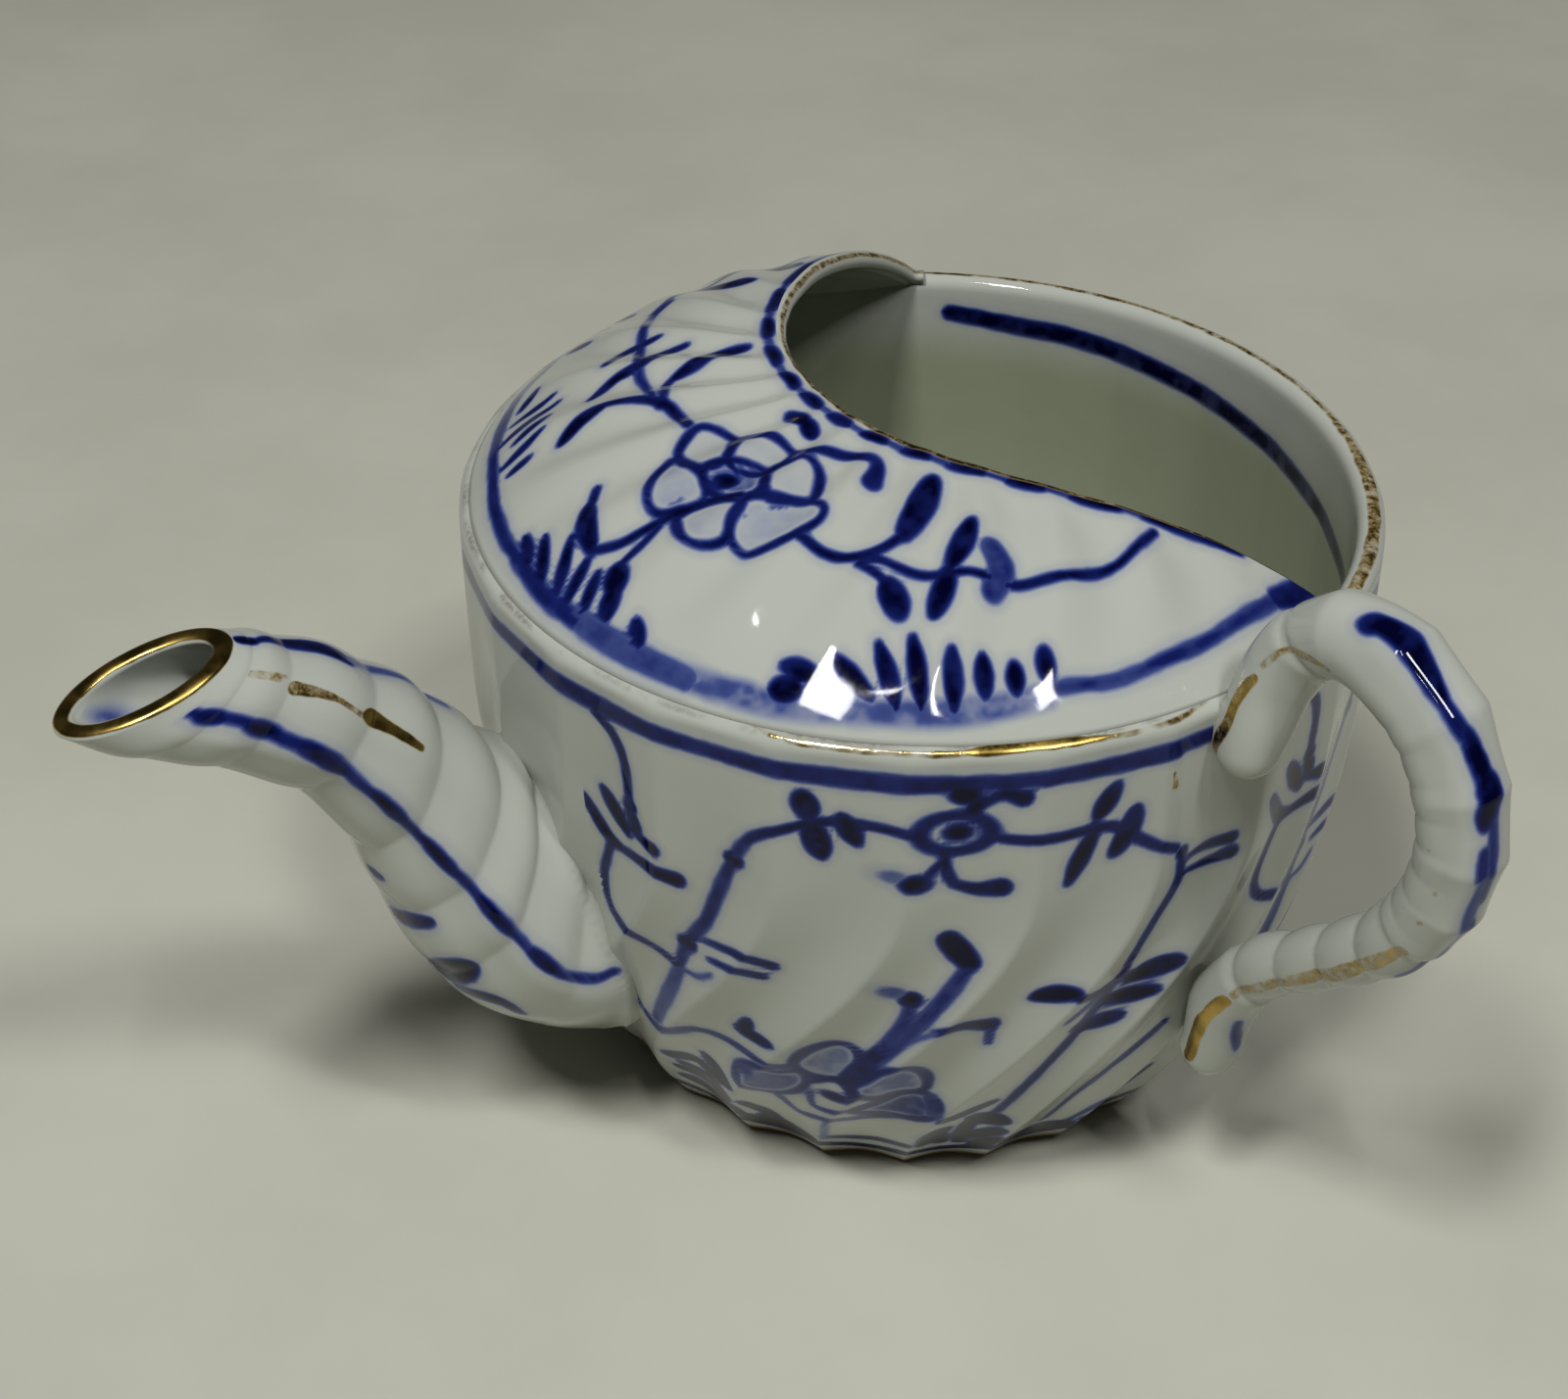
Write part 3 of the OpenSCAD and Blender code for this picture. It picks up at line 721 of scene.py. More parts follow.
def cover_flower(top):
    """The flower in the middle of the cover: six petals round a heart."""
    for wash, outline in (
        (0.06, ((-24.7, -1), (-23.5, 0), (-21.9, 0.4), (-20.6, -1.2), (-20.2, -3.1), (-21.4, -4.3),
                (-22.9, -5.4), (-24.3, -4.7), (-25, -2.9))),
        (0.08, ((-20.2, -3.1), (-18.1, -4.3), (-17.1, -6.3), (-17.4, -8), (-20.2, -8.5), (-21.5, -7.2),
                (-22.2, -5.6), (-21.2, -4.2))),
        (0.15, ((-25.2, -1.4), (-27.1, -2), (-28.6, -3.2), (-29.4, -5), (-28.9, -6.4), (-27.5, -7.1),
                (-25.8, -7.9), (-24.7, -6), (-24.9, -3))),
        (0.08, ((-20.2, -8.7), (-18.2, -8.5), (-16.8, -8.8), (-16.4, -10.8), (-17.4, -12.7),
                (-18.7, -13.7), (-20, -12.7), (-21.5, -11.2))),
        (0.11, ((-27.8, -7.7), (-28.6, -8.7), (-28.8, -10.7), (-27.9, -12.2), (-26.3, -12.9),
                (-25, -11.8), (-23.5, -10.7), (-24.9, -8.6))),
        (0.14, ((-23.3, -10.6), (-24.7, -11.4), (-25.7, -12.7), (-25.7, -14.5), (-24.8, -15.6),
                (-21.1, -16.4), (-19.3, -16.3), (-18.3, -15.3), (-18.8, -13.6), (-21.8, -11))),
        (0.4, ((-24.4, -5.1), (-23.2, -4.9), (-21.1, -6.1), (-20.1, -8), (-21, -9.9), (-22.3, -10.4),
               (-23.9, -9.1), (-24.7, -7))),
    ):
        top.petal(*outline, line=0.36, wash=wash, load=0.96)
    top.stroke(0.9, (-23.8, -12), (-21.6, -12.6), (-19.8, -12.8), layer="wash", load=0.5)
    top.stroke(0.7, (-28, -6), (-26.2, -6.4), layer="wash", load=0.42)
    top.blob((-23.2, -7.1), 1.25, 0.85, tilt=-45)
    top.stroke(0.5, (-28.2, -7.1), (-26, -7.9), (-24.6, -8.6), (-23.2, -9.6))


def paint_cover(piece, points, rows):
    x, y = points[:, 0], points[:, 1]
    row_of = np.append(np.repeat(np.arange(rows), COVER_COLUMNS), [0, 0])
    radius = np.maximum(np.hypot(x, y), 1)
    slope = DOME_H * DOME_POWER / DOME_R * np.clip(radius / DOME_R, 0, 1) ** (DOME_POWER - 1)
    # the dome's fall stretches what is laid on it outwards only: x and y each take half of the stretch
    stretch = np.sqrt(np.hypot(1, 0.8 * slope))
    top = Paint(x, y, stretch, stretch)
    stroke, leaf, drop = top.stroke, top.leaf, top.drop
    # the band inside the rim, in strokes that overlap: dark at the left, a pale wash in front
    stroke(0.55, (-34.4, 18), (-37.1, 11.4), (-38, 8.4), (-38.8, 4.4), (-39, 1), load=0.84)
    stroke(0.7, (-39, 1.8), (-39.1, -3.8), (-38.5, -7.8), (-37.7, -11.6), load=0.82)
    stroke(0.95, (-38.2, -8.6), (-37.3, -12.3), (-35.8, -16.4), (-33.6, -20.9), load=0.62)
    stroke(1.15, (-34.4, -19.2), (-32.2, -22.8), (-30.2, -25), layer="wash", load=0.44)
    stroke(1.25, (-31.2, -24.4), (-28.8, -27), (-25.8, -29.6), (-22.8, -31.8), layer="wash", load=0.4)
    stroke(1.25, (-24.2, -31), (-18.8, -34.3), (-14.5, -36), (-9.8, -37.2), layer="wash", load=0.44)
    stroke(0.5, (-10.4, -36.9), (-8.1, -37.2), (-4.2, -38), (0, -38), load=0.72)
    stroke(0.52, (-1, -38), (3.6, -37.6), (7.4, -36.8), load=0.8)
    stroke(0.62, (6.5, -37), (12, -35.6), (16, -34.2), load=0.72)
    stroke(1.0, (13.8, -35), (16.2, -34.6), (18.6, -33.6), load=0.9)
    stroke(0.6, (-34.6, 17.6), (-31, 23.6), (-27.6, 27.6), load=0.8)
    stroke(0.85, (-28.4, 27), (-21.6, 32.4), (-14, 36.4), load=0.62)
    stroke(0.7, (-15.2, 35.8), (-6, 38.4), (4, 38.4), load=0.72)
    stroke(0.6, (3, 38.4), (11.6, 36.6), (17.6, 34), load=0.8)
    # the line along the opening, and its short dashes
    for side in (1, -1):
        edge = [(edge_x(v) - 1.9, side * v) for v in (0, 4, 8, 12, 16, 20, 24, 28, 31.5)]
        stroke(0.28, *edge, load=0.8)
    ends = (24.5, 20, 19, 14.8, 13.6, 10, 8.6, 5, 3.6, 0.6, -0.6, -3.4, -4.8, -7.2, -8.6, -11,
            -12.4, -14.6, -16, -18.4, -19.8, -22, -23.4, -26, -27, -31.5)
    for start, end in zip(ends[::2], ends[1::2]):
        middle = (start + end) / 2
        leaf(0.62, *[(edge_x(v) - gap, v) for v, gap in ((start, 2), (middle, 1.8), (end, 2))])
    cover_flower(top)
    # the stem to the left, its leaf and bud
    stroke(0.42, (-26, -8.2), (-28, -7.3), (-30.5, -6.7), (-32.7, -6.1), (-34.4, -4.9))
    leaf(0.95, (-34.6, -4.6), (-34, -2.2), (-32.8, 0))
    stroke(0.4, (-33, -0.6), (-31.4, 1.3))
    stroke(0.35, (-29.5, -7.3), (-31.5, -7.8), (-33.2, -8), (-34.2, -8.8))
    leaf(1.15, (-33.9, -8), (-35, -10.2))
    leaf(0.95, (-34.8, -9.6), (-36.6, -11.4))
    leaf(0.75, (-34.8, -13.6), (-35.6, -15.8))
    # the sprig at the back
    stroke(0.5, (-22.6, 1.4), (-22.3, 4.7), (-22.7, 6.6), (-24.3, 9.2), (-26.1, 10.9))
    leaf(0.85, (-26.1, 10.9), (-28.6, 11.2), (-30.8, 10.6))
    stroke(0.8, (-22.7, 6.5))
    stroke(0.4, (-23, 7.5), (-22.2, 11), (-21.5, 14), (-18.2, 20.3), (-16.8, 22.5), (-14.5, 26),
           (-12, 27.2), load=0.85)
    leaf(0.7, (-26.3, 14.1), (-23.7, 14.8), (-21.3, 14.5), (-18.6, 15.1), (-16.3, 14.9))
    leaf(0.55, (-23, 18.1), (-20.3, 19.4), (-17.2, 18.6))
    stroke(0.4, (-22.4, 6.8), (-21, 9.2), (-19.7, 10.2), load=0.9)
    leaf(0.85, (-20, 10), (-17.4, 10.2), (-14.8, 10.8), (-12.6, 10))
    # the bud and the curl by the opening
    leaf(0.9, (-14.7, -2.5), (-14.5, -4.9))
    leaf(0.8, (-14.3, -4.5), (-14.6, -6.4))
    stroke(0.45, (-17, -7.6), (-14.3, -9.7), (-12.8, -11), (-12.1, -12.5))
    drop(0.85, (-12.3, -11.6), (-12.1, -13.2), (-13.4, -14.6), load=0.9)
    # the long stem to the right, with leaves, a soft bud and a short branch
    stroke(0.45, (-21.4, -16.6), (-20.4, -18.9), (-18.4, -20.8), (-16.4, -21.6), (-13.9, -21.3))
    leaf(1.15, (-14.3, -21.4), (-11.4, -19.2), (-8.9, -17))
    stroke(0.4, (-18.1, -21.3), (-14.6, -24.8), (-10.9, -26.9), (-7.9, -29), (-3, -30.2), (0.8, -30.2),
           (3.4, -29.4), (5.4, -28.6))
    leaf(1.0, (-8.6, -22.6), (-10.4, -24.2), (-12, -25.4))
    leaf(1.0, (-12.4, -25.6), (-13.8, -27.1), (-15.3, -28.4))
    stroke(1.15, (-8.3, -25.5), (-8.5, -27.4), (-10.2, -28.8), load=0.68)
    stroke(0.35, (-18.5, -21.6), (-17.9, -23.2), (-17.3, -24.6))
    leaf(1.2, (-17.4, -24.4), (-17.5, -26.8))
    # grass along the band, root and tip by turns: at the front, at the left and at the back
    for width, *ends in (
        (0.8, (-27.1, -25.2), (-25.4, -27.6), (-23.6, -27.3), (-22.4, -31), (-20.1, -28.1), (-21, -32.6),
         (-17.6, -29), (-19.3, -33.7), (-15.4, -31.5), (-17.1, -34.9), (-13.3, -32.7), (-14.4, -35.2),
         (-11.3, -34.2), (-12, -36), (-8.7, -34.4), (-9.3, -36.3)),
        (0.62, (-37.6, 2.8), (-38.7, -0.4), (-36.6, 0.8), (-38.9, -3.4), (-35.3, -2), (-38.5, -5.6),
         (-35.1, -5), (-38.5, -7.2), (-35.1, -7), (-37.8, -9.3)),
        (0.5, (-34, 18.2), (-27.6, 18.3), (-35.2, 14.2), (-30.8, 14.6), (-35.2, 12.3), (-33, 12.5),
         (-29.9, 22.4), (-27.2, 24.2), (-33, 16.3), (-29.4, 16.4), (-31.5, 20.4), (-27.2, 20.2)),
    ):
        for root, tip in zip(ends[::2], ends[1::2]):
            leaf(width, root, tip)
    leaf(1.0, (-28.6, -26), (-27, -27.4))
    # the far side holds a sprig and grass of its own
    stroke(0.4, (-14, 27), (-8, 29.6), (-2, 29.8), (3, 28), load=0.85)
    leaf(0.8, (-8, 29.4), (-6, 25.6), (-5, 23.8))
    leaf(0.8, (-4, 30), (-4.6, 33), (-4.2, 34.8))
    leaf(0.8, (-1, 29.8), (0.4, 26.8), (0.6, 25.2))
    for a in range(96, 128, 6):
        c, s = math.cos(math.radians(a)), math.sin(math.radians(a))
        leaf(0.6, (34.6 * c, 34.6 * s), (37.6 * c + 0.8, 37.6 * s))
    top.wipe(row_of >= COVER_ROWS)
    # gold on the rounded edge of the opening
    along = (row_of - COVER_ROWS) / EDGE_ROWS
    on_edge = (row_of >= COVER_ROWS - 3) & (along < 0.8)
    near = smooth((8 - y) / 20)
    edge = (np.abs(along - 0.14 + 0.16 * near) - 0.08 - 0.04 * near) * 2.6
    top.lay("gold", on_edge, edge, 0.5 + 0.12 * near)
    top.give(piece)


# --- swept pieces -----------------------------------------------------------------------------


def outer_body_r(z):
    """Radius of the bowl and its cover at a height, which the spout and the handle are set on."""
    on_dome = DOME_R * (1 - np.clip((z - BOWL_H) / DOME_H, 0, 1)) ** (1 / DOME_POWER)
    return np.where(z > BOWL_H, on_dome, wall_r(z))


def set_on_body(points, sunk):
    """Keeps a swept piece's points from going more than a little way into the wall."""
    r = np.hypot(points[..., 0], points[..., 1])
    limit = outer_body_r(points[..., 2]) - sunk
    share = np.where(r < limit, limit / np.maximum(r, 1e-6), 1)
    return points * np.stack([share, share, np.ones_like(share)], -1)


def spread(points, middle, reach, most):
    """Moves points out from their ring's middle as they near the wall, like the slip that joins them."""
    gap = np.hypot(points[..., 0], points[..., 1]) - outer_body_r(points[..., 2])
    near = np.clip(1 - gap / reach, 0, 1)
    out = points - middle
    out /= np.maximum(np.linalg.norm(out, axis=-1), 1e-6)[..., None]
    return points + out * (most * (1 - np.sqrt(np.clip(1 - near ** 2, 0, 1))))[..., None]


def between(value, low, high, soft):
    """1 between two values, fading to 0 outside them."""
    return smooth((value - low) / soft) * smooth((high - value) / soft)


def beads(phase):
    """Round beads with a sharp crease between two: 1 on a bead, 0 in a crease."""
    return np.abs(np.sin(np.pi * phase)) ** 0.6


def scales(phase):
    """Ribs that overlap like scales: each swells quickly from its crease and falls gently to the next."""
    q = (phase % 1) ** 0.72
    return 0.55 * np.sin(np.pi * q) + 0.45 * (0.5 - 0.5 * np.cos(2 * np.pi * q))


# --- spout ------------------------------------------------------------------------------------

SPOUT_COLUMNS = 144
SPOUT_ROWS_EACH = 30    # rows of the outer skin from one station to the next
INNER_ROWS_EACH = 8
LIP_ROWS = 7
SPOUT_CREASE = 0.46     # depth of the creases between its ribs
LIP_OUT = 0.55          # how far its rounded lip stands out past its mouth
# Where each crease runs, on top and underneath, as shares of the way from the root to the mouth
SPOUT_CREASES = ((0.31, 0.1), (0.385, 0.26), (0.445, 0.37), (0.54, 0.485), (0.625, 0.635), (0.75, 0.745),
                 (0.87, 0.85))
# Lower edge, then upper edge, each as shares of the reach beyond the rim and of the mouth's height,
# and half the width as a share of the root's
SPOUT_STATIONS = (
    (-0.08, 0.17, -0.39, 0.38, 0.40), (0.09, 0.245, -0.29, 0.465, 0.50),
    (0.245, 0.343, -0.19, 0.54, 0.48), (0.33, 0.47, -0.085, 0.62, 0.415),
    (0.39, 0.59, 0.04, 0.72, 0.33), (0.46, 0.69, 0.19, 0.833, 0.277),
    (0.585, 0.78, 0.363, 0.925, 0.25), (0.776, 0.85, 0.508, 0.977, 0.23),
    (0.915, 0.89, 0.566, 0.993, 0.21), (1, 0.931, 0.597, 1, 0.185),
)


def spout_rows(steps):
    """Each row's middle, its half height as a step up from there, and its half width."""
    low_out, low_up, high_out, high_up, wide = curve_through(SPOUT_STATIONS, steps).T
    level = np.zeros(len(wide))
    low = np.stack([-RIM_R - SPOUT_REACH * low_out, level, MOUTH_Z * low_up], -1)
    high = np.stack([-RIM_R - SPOUT_REACH * high_out, level, MOUTH_Z * high_up], -1)
    return (low + high) / 2, (high - low) / 2, SPOUT_W * wide


def rib_phase(u, around):
    """Counts ribs from the root on, the creases being whole numbers."""
    top, under = np.array(SPOUT_CREASES).T
    phase = np.empty((len(u), len(around)))
    for column, a in enumerate(around):
        crease = under + (top - under) * (0.5 + 0.5 * math.cos(a)) ** 1.3
        known = np.concatenate([[2 * crease[0] - crease[1]], crease, [2 * crease[-1] - crease[-2]]])
        phase[:, column] = np.interp(u, known, np.arange(len(known)))
    return phase


def spout_grid(steps, inset, crease):
    """Points of the spout's skin, moved in by an inset and by creases of a depth."""
    middle, half, wide = spout_rows(steps)
    u = np.linspace(0, 1, len(middle))[:, None]
    around = np.linspace(0, 2 * np.pi, SPOUT_COLUMNS, endpoint=False)[None, :]
    tall = np.linalg.norm(half, axis=1)[:, None]
    up = half / tall
    # the section is squarer than an oval, with a ridge along each side, but the mouth is a plain oval
    fade = smooth((1 - u) / 0.4) * smooth((u - 0.02) / 0.3)
    power = 2 + 0.35 * fade
    round_c = np.sign(np.cos(around)) * np.abs(np.cos(around)) ** (2 / power)
    round_s = np.sign(np.sin(around)) * np.abs(np.sin(around)) ** (2 / power)
    ridge = 0.1 * fade * np.exp(-((np.abs(np.degrees(around) - 180) - 84) / 12) ** 2)
    cut = inset + crease * (1 - scales(rib_phase(u[:, 0], around[0]))) * fade
    points = middle[:, None, :] + up[:, None, :] * ((tall - cut) * round_c)[..., None]
    points[..., 1] += (wide[:, None] * (1 + ridge) - cut) * round_s
    return points, middle


def make_spout():
    outer, middle = spout_grid(SPOUT_ROWS_EACH, 0, SPOUT_CREASE)
    inner, _ = spout_grid(INNER_ROWS_EACH, SPOUT_WALL, 0)
    outer = spread(outer, middle[:, None, :], 1.6, 0.5)
    # the lip is rounded from the outer skin to the inner one, and stands out square to the mouth
    half = spout_rows(SPOUT_ROWS_EACH)[1][-1]
    ahead = np.array([-half[2], 0, half[0]]) / np.linalg.norm(half)
    lip = []
    for a in np.linspace(0, np.pi, LIP_ROWS + 2)[1:-1]:
        mixed = outer[-1] + (inner[-1] - outer[-1]) * (1 - math.cos(a)) / 2
        lip.append(mixed + ahead * LIP_OUT * math.sin(a))
    grid = set_on_body(np.concatenate([outer, lip, inner[::-1]]), SET_IN)
    quads, shares = grid_faces(len(grid), SPOUT_COLUMNS)
    hem, hem_map = hem_faces(len(grid), SPOUT_COLUMNS)
    maps = np.concatenate([shares[..., ::-1], hem_map])
    piece = make_piece("spout_glazed", grid.reshape(-1, 3), np.concatenate([quads, hem]), maps)
    paint_spout(piece, grid, len(outer), len(lip))
    return piece


def paint_spout(piece, grid, outer_rows, lip_rows):
    rows = len(grid)
    around = np.tile(np.arange(SPOUT_COLUMNS) * 360 / SPOUT_COLUMNS, rows)
    row_of = np.repeat(np.arange(rows), SPOUT_COLUMNS)
    percent = row_of / (outer_rows - 1) * 100
    centres = grid.mean(1)
    step = np.linalg.norm(np.diff(centres[:outer_rows], axis=0), axis=1).sum() / 100
    girth = np.linalg.norm(grid - centres[:, None, :], axis=2).reshape(-1)
    skin = Paint(around, percent, girth * math.pi / 180, step, comes_round=True)
    # a line down each side that swells on every rib, short marks beneath, and traces of gold lines
    side_line = ((80, 93), (79, 84), (81, 78), (87, 73), (92, 65), (98, 60), (101, 50), (98, 43),
                 (97, 39), (94, 29), (92, 21), (87, 16), (79, 14))
    swells = ((80, 92), (80, 83), (81, 79), (86, 73), (88, 71), (96, 62), (98, 59.5), (101, 51.5),
              (100.5, 49.5), (98, 41.5), (97, 39), (94.5, 30.5), (94, 28.5), (92, 21.5))
    under = ((0.4, (165, 43.7), (152, 43.3)), (0.6, (172, 34.2), (152, 35.5), (132, 36)),
             (1.45, (158, 26), (141, 27.3), (126, 28.2)), (0.7, (150, 23.4), (129, 21.4), (128, 17.5)),
             (0.5, (160, 13), (148, 9)))
    for side in (1, -1):
        skin.side = side
        skin.stroke(0.42, *side_line, load=0.9)
        for start, end in zip(swells[::2], swells[1::2]):
            skin.leaf(0.62, start, end)
        for width, *mark in under:
            skin.leaf(width, *mark)
        skin.gild(0.7, (48.5, 67.5), (46, 70.7), (45, 74), shape="drop", load=0.55)
        skin.gild(0.22, (53, 64.8), (48, 68.4), load=0.5)
        skin.gild(0.9, (57, 56.4), (54, 60), (51.5, 62.6), shape="drop", load=0.85)
        skin.gild(0.3, (38, 86), (37, 76), load=0.42)
        skin.gild(0.3, (41, 86), (41, 77), load=0.38)
    skin.side = 1
    # a line along the top
    skin.leaf(0.8, (-2, 98), (-3, 91), (-2, 83))
    skin.stroke(0.4, (-2, 84), (3, 77), (3, 70))
    skin.leaf(0.85, (4, 76), (5, 70), (-4, 66))
    skin.stroke(0.4, (-4, 67), (4, 60), (4, 51), load=0.6)
    on_lip = (row_of >= outer_rows - 4) & (row_of < outer_rows + lip_rows + 1)
    skin.wipe(row_of >= outer_rows)
    # gold on the lip, thinner on one side, and a wash that shows inside the mouth
    across = (row_of - outer_rows + 1 - lip_rows / 2) * 0.3
    thin = 0.3 * smooth(1.3 - np.abs(around - 215) / 70)
    skin.lay("gold", on_lip, np.abs(across) - 0.95 + thin, 0.93)
    inside = row_of > outer_rows + lip_rows + 1
    wash = np.hypot(around - 158, (row_of - outer_rows - lip_rows - 7) * 5) / 30 - 0.7
    skin.lay("wash", inside, wash, 0.55)
    skin.give(piece)


# --- handle -----------------------------------------------------------------------------------

HANDLE_COLUMNS = 72
HANDLE_STEP = 0.3       # from one row to the next along the handle
SCROLL_CURL = 2.8       # how far its upper end curls towards the spout
# Share of the reach beyond the wall, share of the height, and thickness as a share of the full one
HANDLE_STATIONS = (
    (0.08, 0.685, 0.66), (0.085, 0.72, 0.74), (0.09, 0.78, 0.84), (0.115, 0.87, 0.90),
    (0.215, 0.95, 0.92), (0.40, 1.00, 1.00), (0.625, 0.99, 1.06), (0.85, 0.92, 1.03),
    (0.985, 0.78, 0.98), (0.945, 0.63, 0.93), (0.766, 0.49, 0.86), (0.492, 0.37, 0.79),
    (0.235, 0.26, 0.80), (0.13, 0.14, 0.82), (0.145, 0.03, 0.76), (0.15, -0.035, 0.74),
)


def handle_path():
    """Rows along the handle, closer together at its rounded ends.

    Gives each row's radius, height, half thickness and percent of the way along, then the whole length.
    """
    out, up, wide = curve_through(HANDLE_STATIONS, 40).T
    z = HANDLE_LOW + (HANDLE_TOP - HANDLE_LOW) * up
    r = wall_r(z) + HANDLE_REACH * out
    length = np.concatenate([[0], np.cumsum(np.hypot(np.diff(r), np.diff(z)))])
    whole = length[-1]
    thick = HANDLE_T / 2 * wide
    end = thick[0] * (1 - np.cos(np.linspace(0.15, np.pi / 2, 12)))
    bow = np.arange(thick[0] + HANDLE_STEP, whole - thick[0], HANDLE_STEP)
    rows = np.concatenate([end, bow, whole - end[::-1]])
    r, z, thick = (np.interp(rows, length, values) for values in (r, z, thick))
    left = np.minimum(rows, whole - rows)
    thick *= np.sqrt(1 - (1 - np.clip(left / thick, 0, 1)) ** 2)
    return r, z, thick, rows / whole * 100, whole


def make_handle():
    path_r, path_z, thick, percent, length = handle_path()
    place = np.stack([path_r, path_z], -1)
    ahead = np.gradient(place, axis=0)
    ahead /= np.linalg.norm(ahead, axis=1)[:, None]
    out = np.stack([ahead[:, 1], -ahead[:, 0]], -1)
    along = percent[:, None]
    around = np.linspace(0, 2 * np.pi, HANDLE_COLUMNS, endpoint=False)[None, :]
    outer_face = (0.5 - 0.5 * np.cos(around)) ** 1.5
    inner_face = (0.5 + 0.5 * np.cos(around)) ** 1.5
    # the outer face of the bow is cut in flat facets, and its inner face is beaded
    facet = 2 * (((along - 20.8) / 6.2) % 1) - 1
    relief = (0.2 - 0.4 * (1 - facet ** 2)) * outer_face * between(along, 15, 58, 3)
    relief -= 0.24 * (1 - beads((along - 31) / 3.4)) * inner_face * between(along, 30, 56, 2)
    # a ridge divides the outer face from each side
    side = np.degrees(np.abs(around - np.pi))
    relief += 0.18 * np.exp(-((side - 36) / 17) ** 2) * between(along, 20, 60, 5)
    relief -= 0.22 * np.exp(-((side - 75) / 22) ** 2) * between(along, 22, 56, 5)
    # the lower arm is a row of round beads, and a crease parts the upper scroll from the bow
    bead = beads((along + 0.8 * np.cos(around) - 63.4) / 6.35)
    relief -= 0.6 * (1 - bead) * between(along, 56.5, 84, 1.5)
    relief -= 0.42 * np.exp(-((along - 16.2 - 2.5 * inner_face) / 0.6) ** 2)
    radius = thick[:, None] + relief * (thick / thick.max())[:, None]
    in_plane, across = radius * np.cos(around), -radius * np.sin(around)
    # the upper scroll curls a little towards the spout
    across = across - SCROLL_CURL * smooth((17 - along) / 17)
    r = place[:, :1] + out[:, :1] * in_plane
    height = place[:, 1:] + out[:, 1:] * in_plane
    turn = math.radians(HANDLE_ANGLE)
    c, s = math.cos(turn), math.sin(turn)
    grid = np.stack([r * c - across * s, r * s + across * c, height], -1)
    grid = set_on_body(spread(grid, grid.mean(1)[:, None, :], 1.2, 0.3), SET_IN)
    points, quads, shares, fans = capped(grid, grid[0].mean(0), grid[-1].mean(0))
    piece = make_piece("handle_glazed", points, quads, shares[..., ::-1], fans,
                       [(MAP_EDGE, MAP_EDGE), (1 - MAP_EDGE, MAP_EDGE)])
    paint_handle(piece, percent, thick, length)
    return piece


def paint_handle(piece, percent, thick, length):
    turns = np.arange(HANDLE_COLUMNS) * 360 / HANDLE_COLUMNS
    around = np.append(np.tile(turns, len(percent)), [0, 0])
    along = np.append(np.repeat(percent, HANDLE_COLUMNS), [0, 100])
    girth = np.append(np.repeat(np.maximum(thick, 0.5), HANDLE_COLUMNS), [1, 1])
    skin = Paint(around, along, girth * math.pi / 180, length / 100, comes_round=True)
    stroke, leaf = skin.stroke, skin.leaf
    # a dark line along the spine, thick and thin by turns
    leaf(1.15, (146, 24.3), (160, 25), (163, 27), (158, 29.3), (153, 31.8))
    stroke(0.6, (154, 31), (154, 33.2), (161, 34.6), load=0.9)
    leaf(0.9, (160, 34), (166, 36.3), (172, 38))
    stroke(0.4, (156, 34.4), (158, 36.5), (162, 38.5), load=0.85)
    leaf(1.15, (172, 37.6), (171, 39.8))
    leaf(1.0, (170, 39.2), (158, 41.3))
    stroke(0.45, (170, 40), (172, 43.2), (168, 46), (176, 48.4), load=0.85)
    stroke(0.5, (158, 43.6), (157, 45.6), load=0.9)
    stroke(0.55, (164, 45), (162, 49.7), (170, 52.4), load=0.65)
    leaf(0.7, (172, 51), (180, 56), (170, 59.4), (154, 61), load=0.85)
    leaf(0.5, (176, 94), (162, 91), (150, 87.8), load=0.8)
    # worn gold along the edges of both scrolls and of the lower arm
    gild = skin.gild
    for side in (1, -1):
        skin.side = side
        gild(0.55, (96, 11.8), (104, 9), (109, 6), (122, 4), (132, 2.4), load=0.62)
        gild(0.35, (98, 13.5), (96, 17), (80, 19.6), (68, 22), load=0.4)
        gild(0.7, (113, 57), (106, 60), (105, 64.4), (107, 68.4), (105, 73.5), load=0.45)
        gild(0.5, (108, 73), (112, 79), (106, 83.4), load=0.42)
        gild(0.65, (104, 85), (98, 88), (91, 92.6), (87, 96.6), load=0.78)
        for place in ((82, 44.1), (105, 52.4), (104, 48.4)):
            gild(0.3, place, load=0.42)
    skin.give(piece)


# --- finish -----------------------------------------------------------------------------------


def srgb(red, green, blue):
    """A colour given in 0 to 255 display steps, as the shader wants it."""
    steps = np.array([red, green, blue]) / 255
    linear = np.where(steps <= 0.04045, steps / 12.92, ((steps + 0.055) / 1.055) ** 2.4)
    return (*linear, 1)


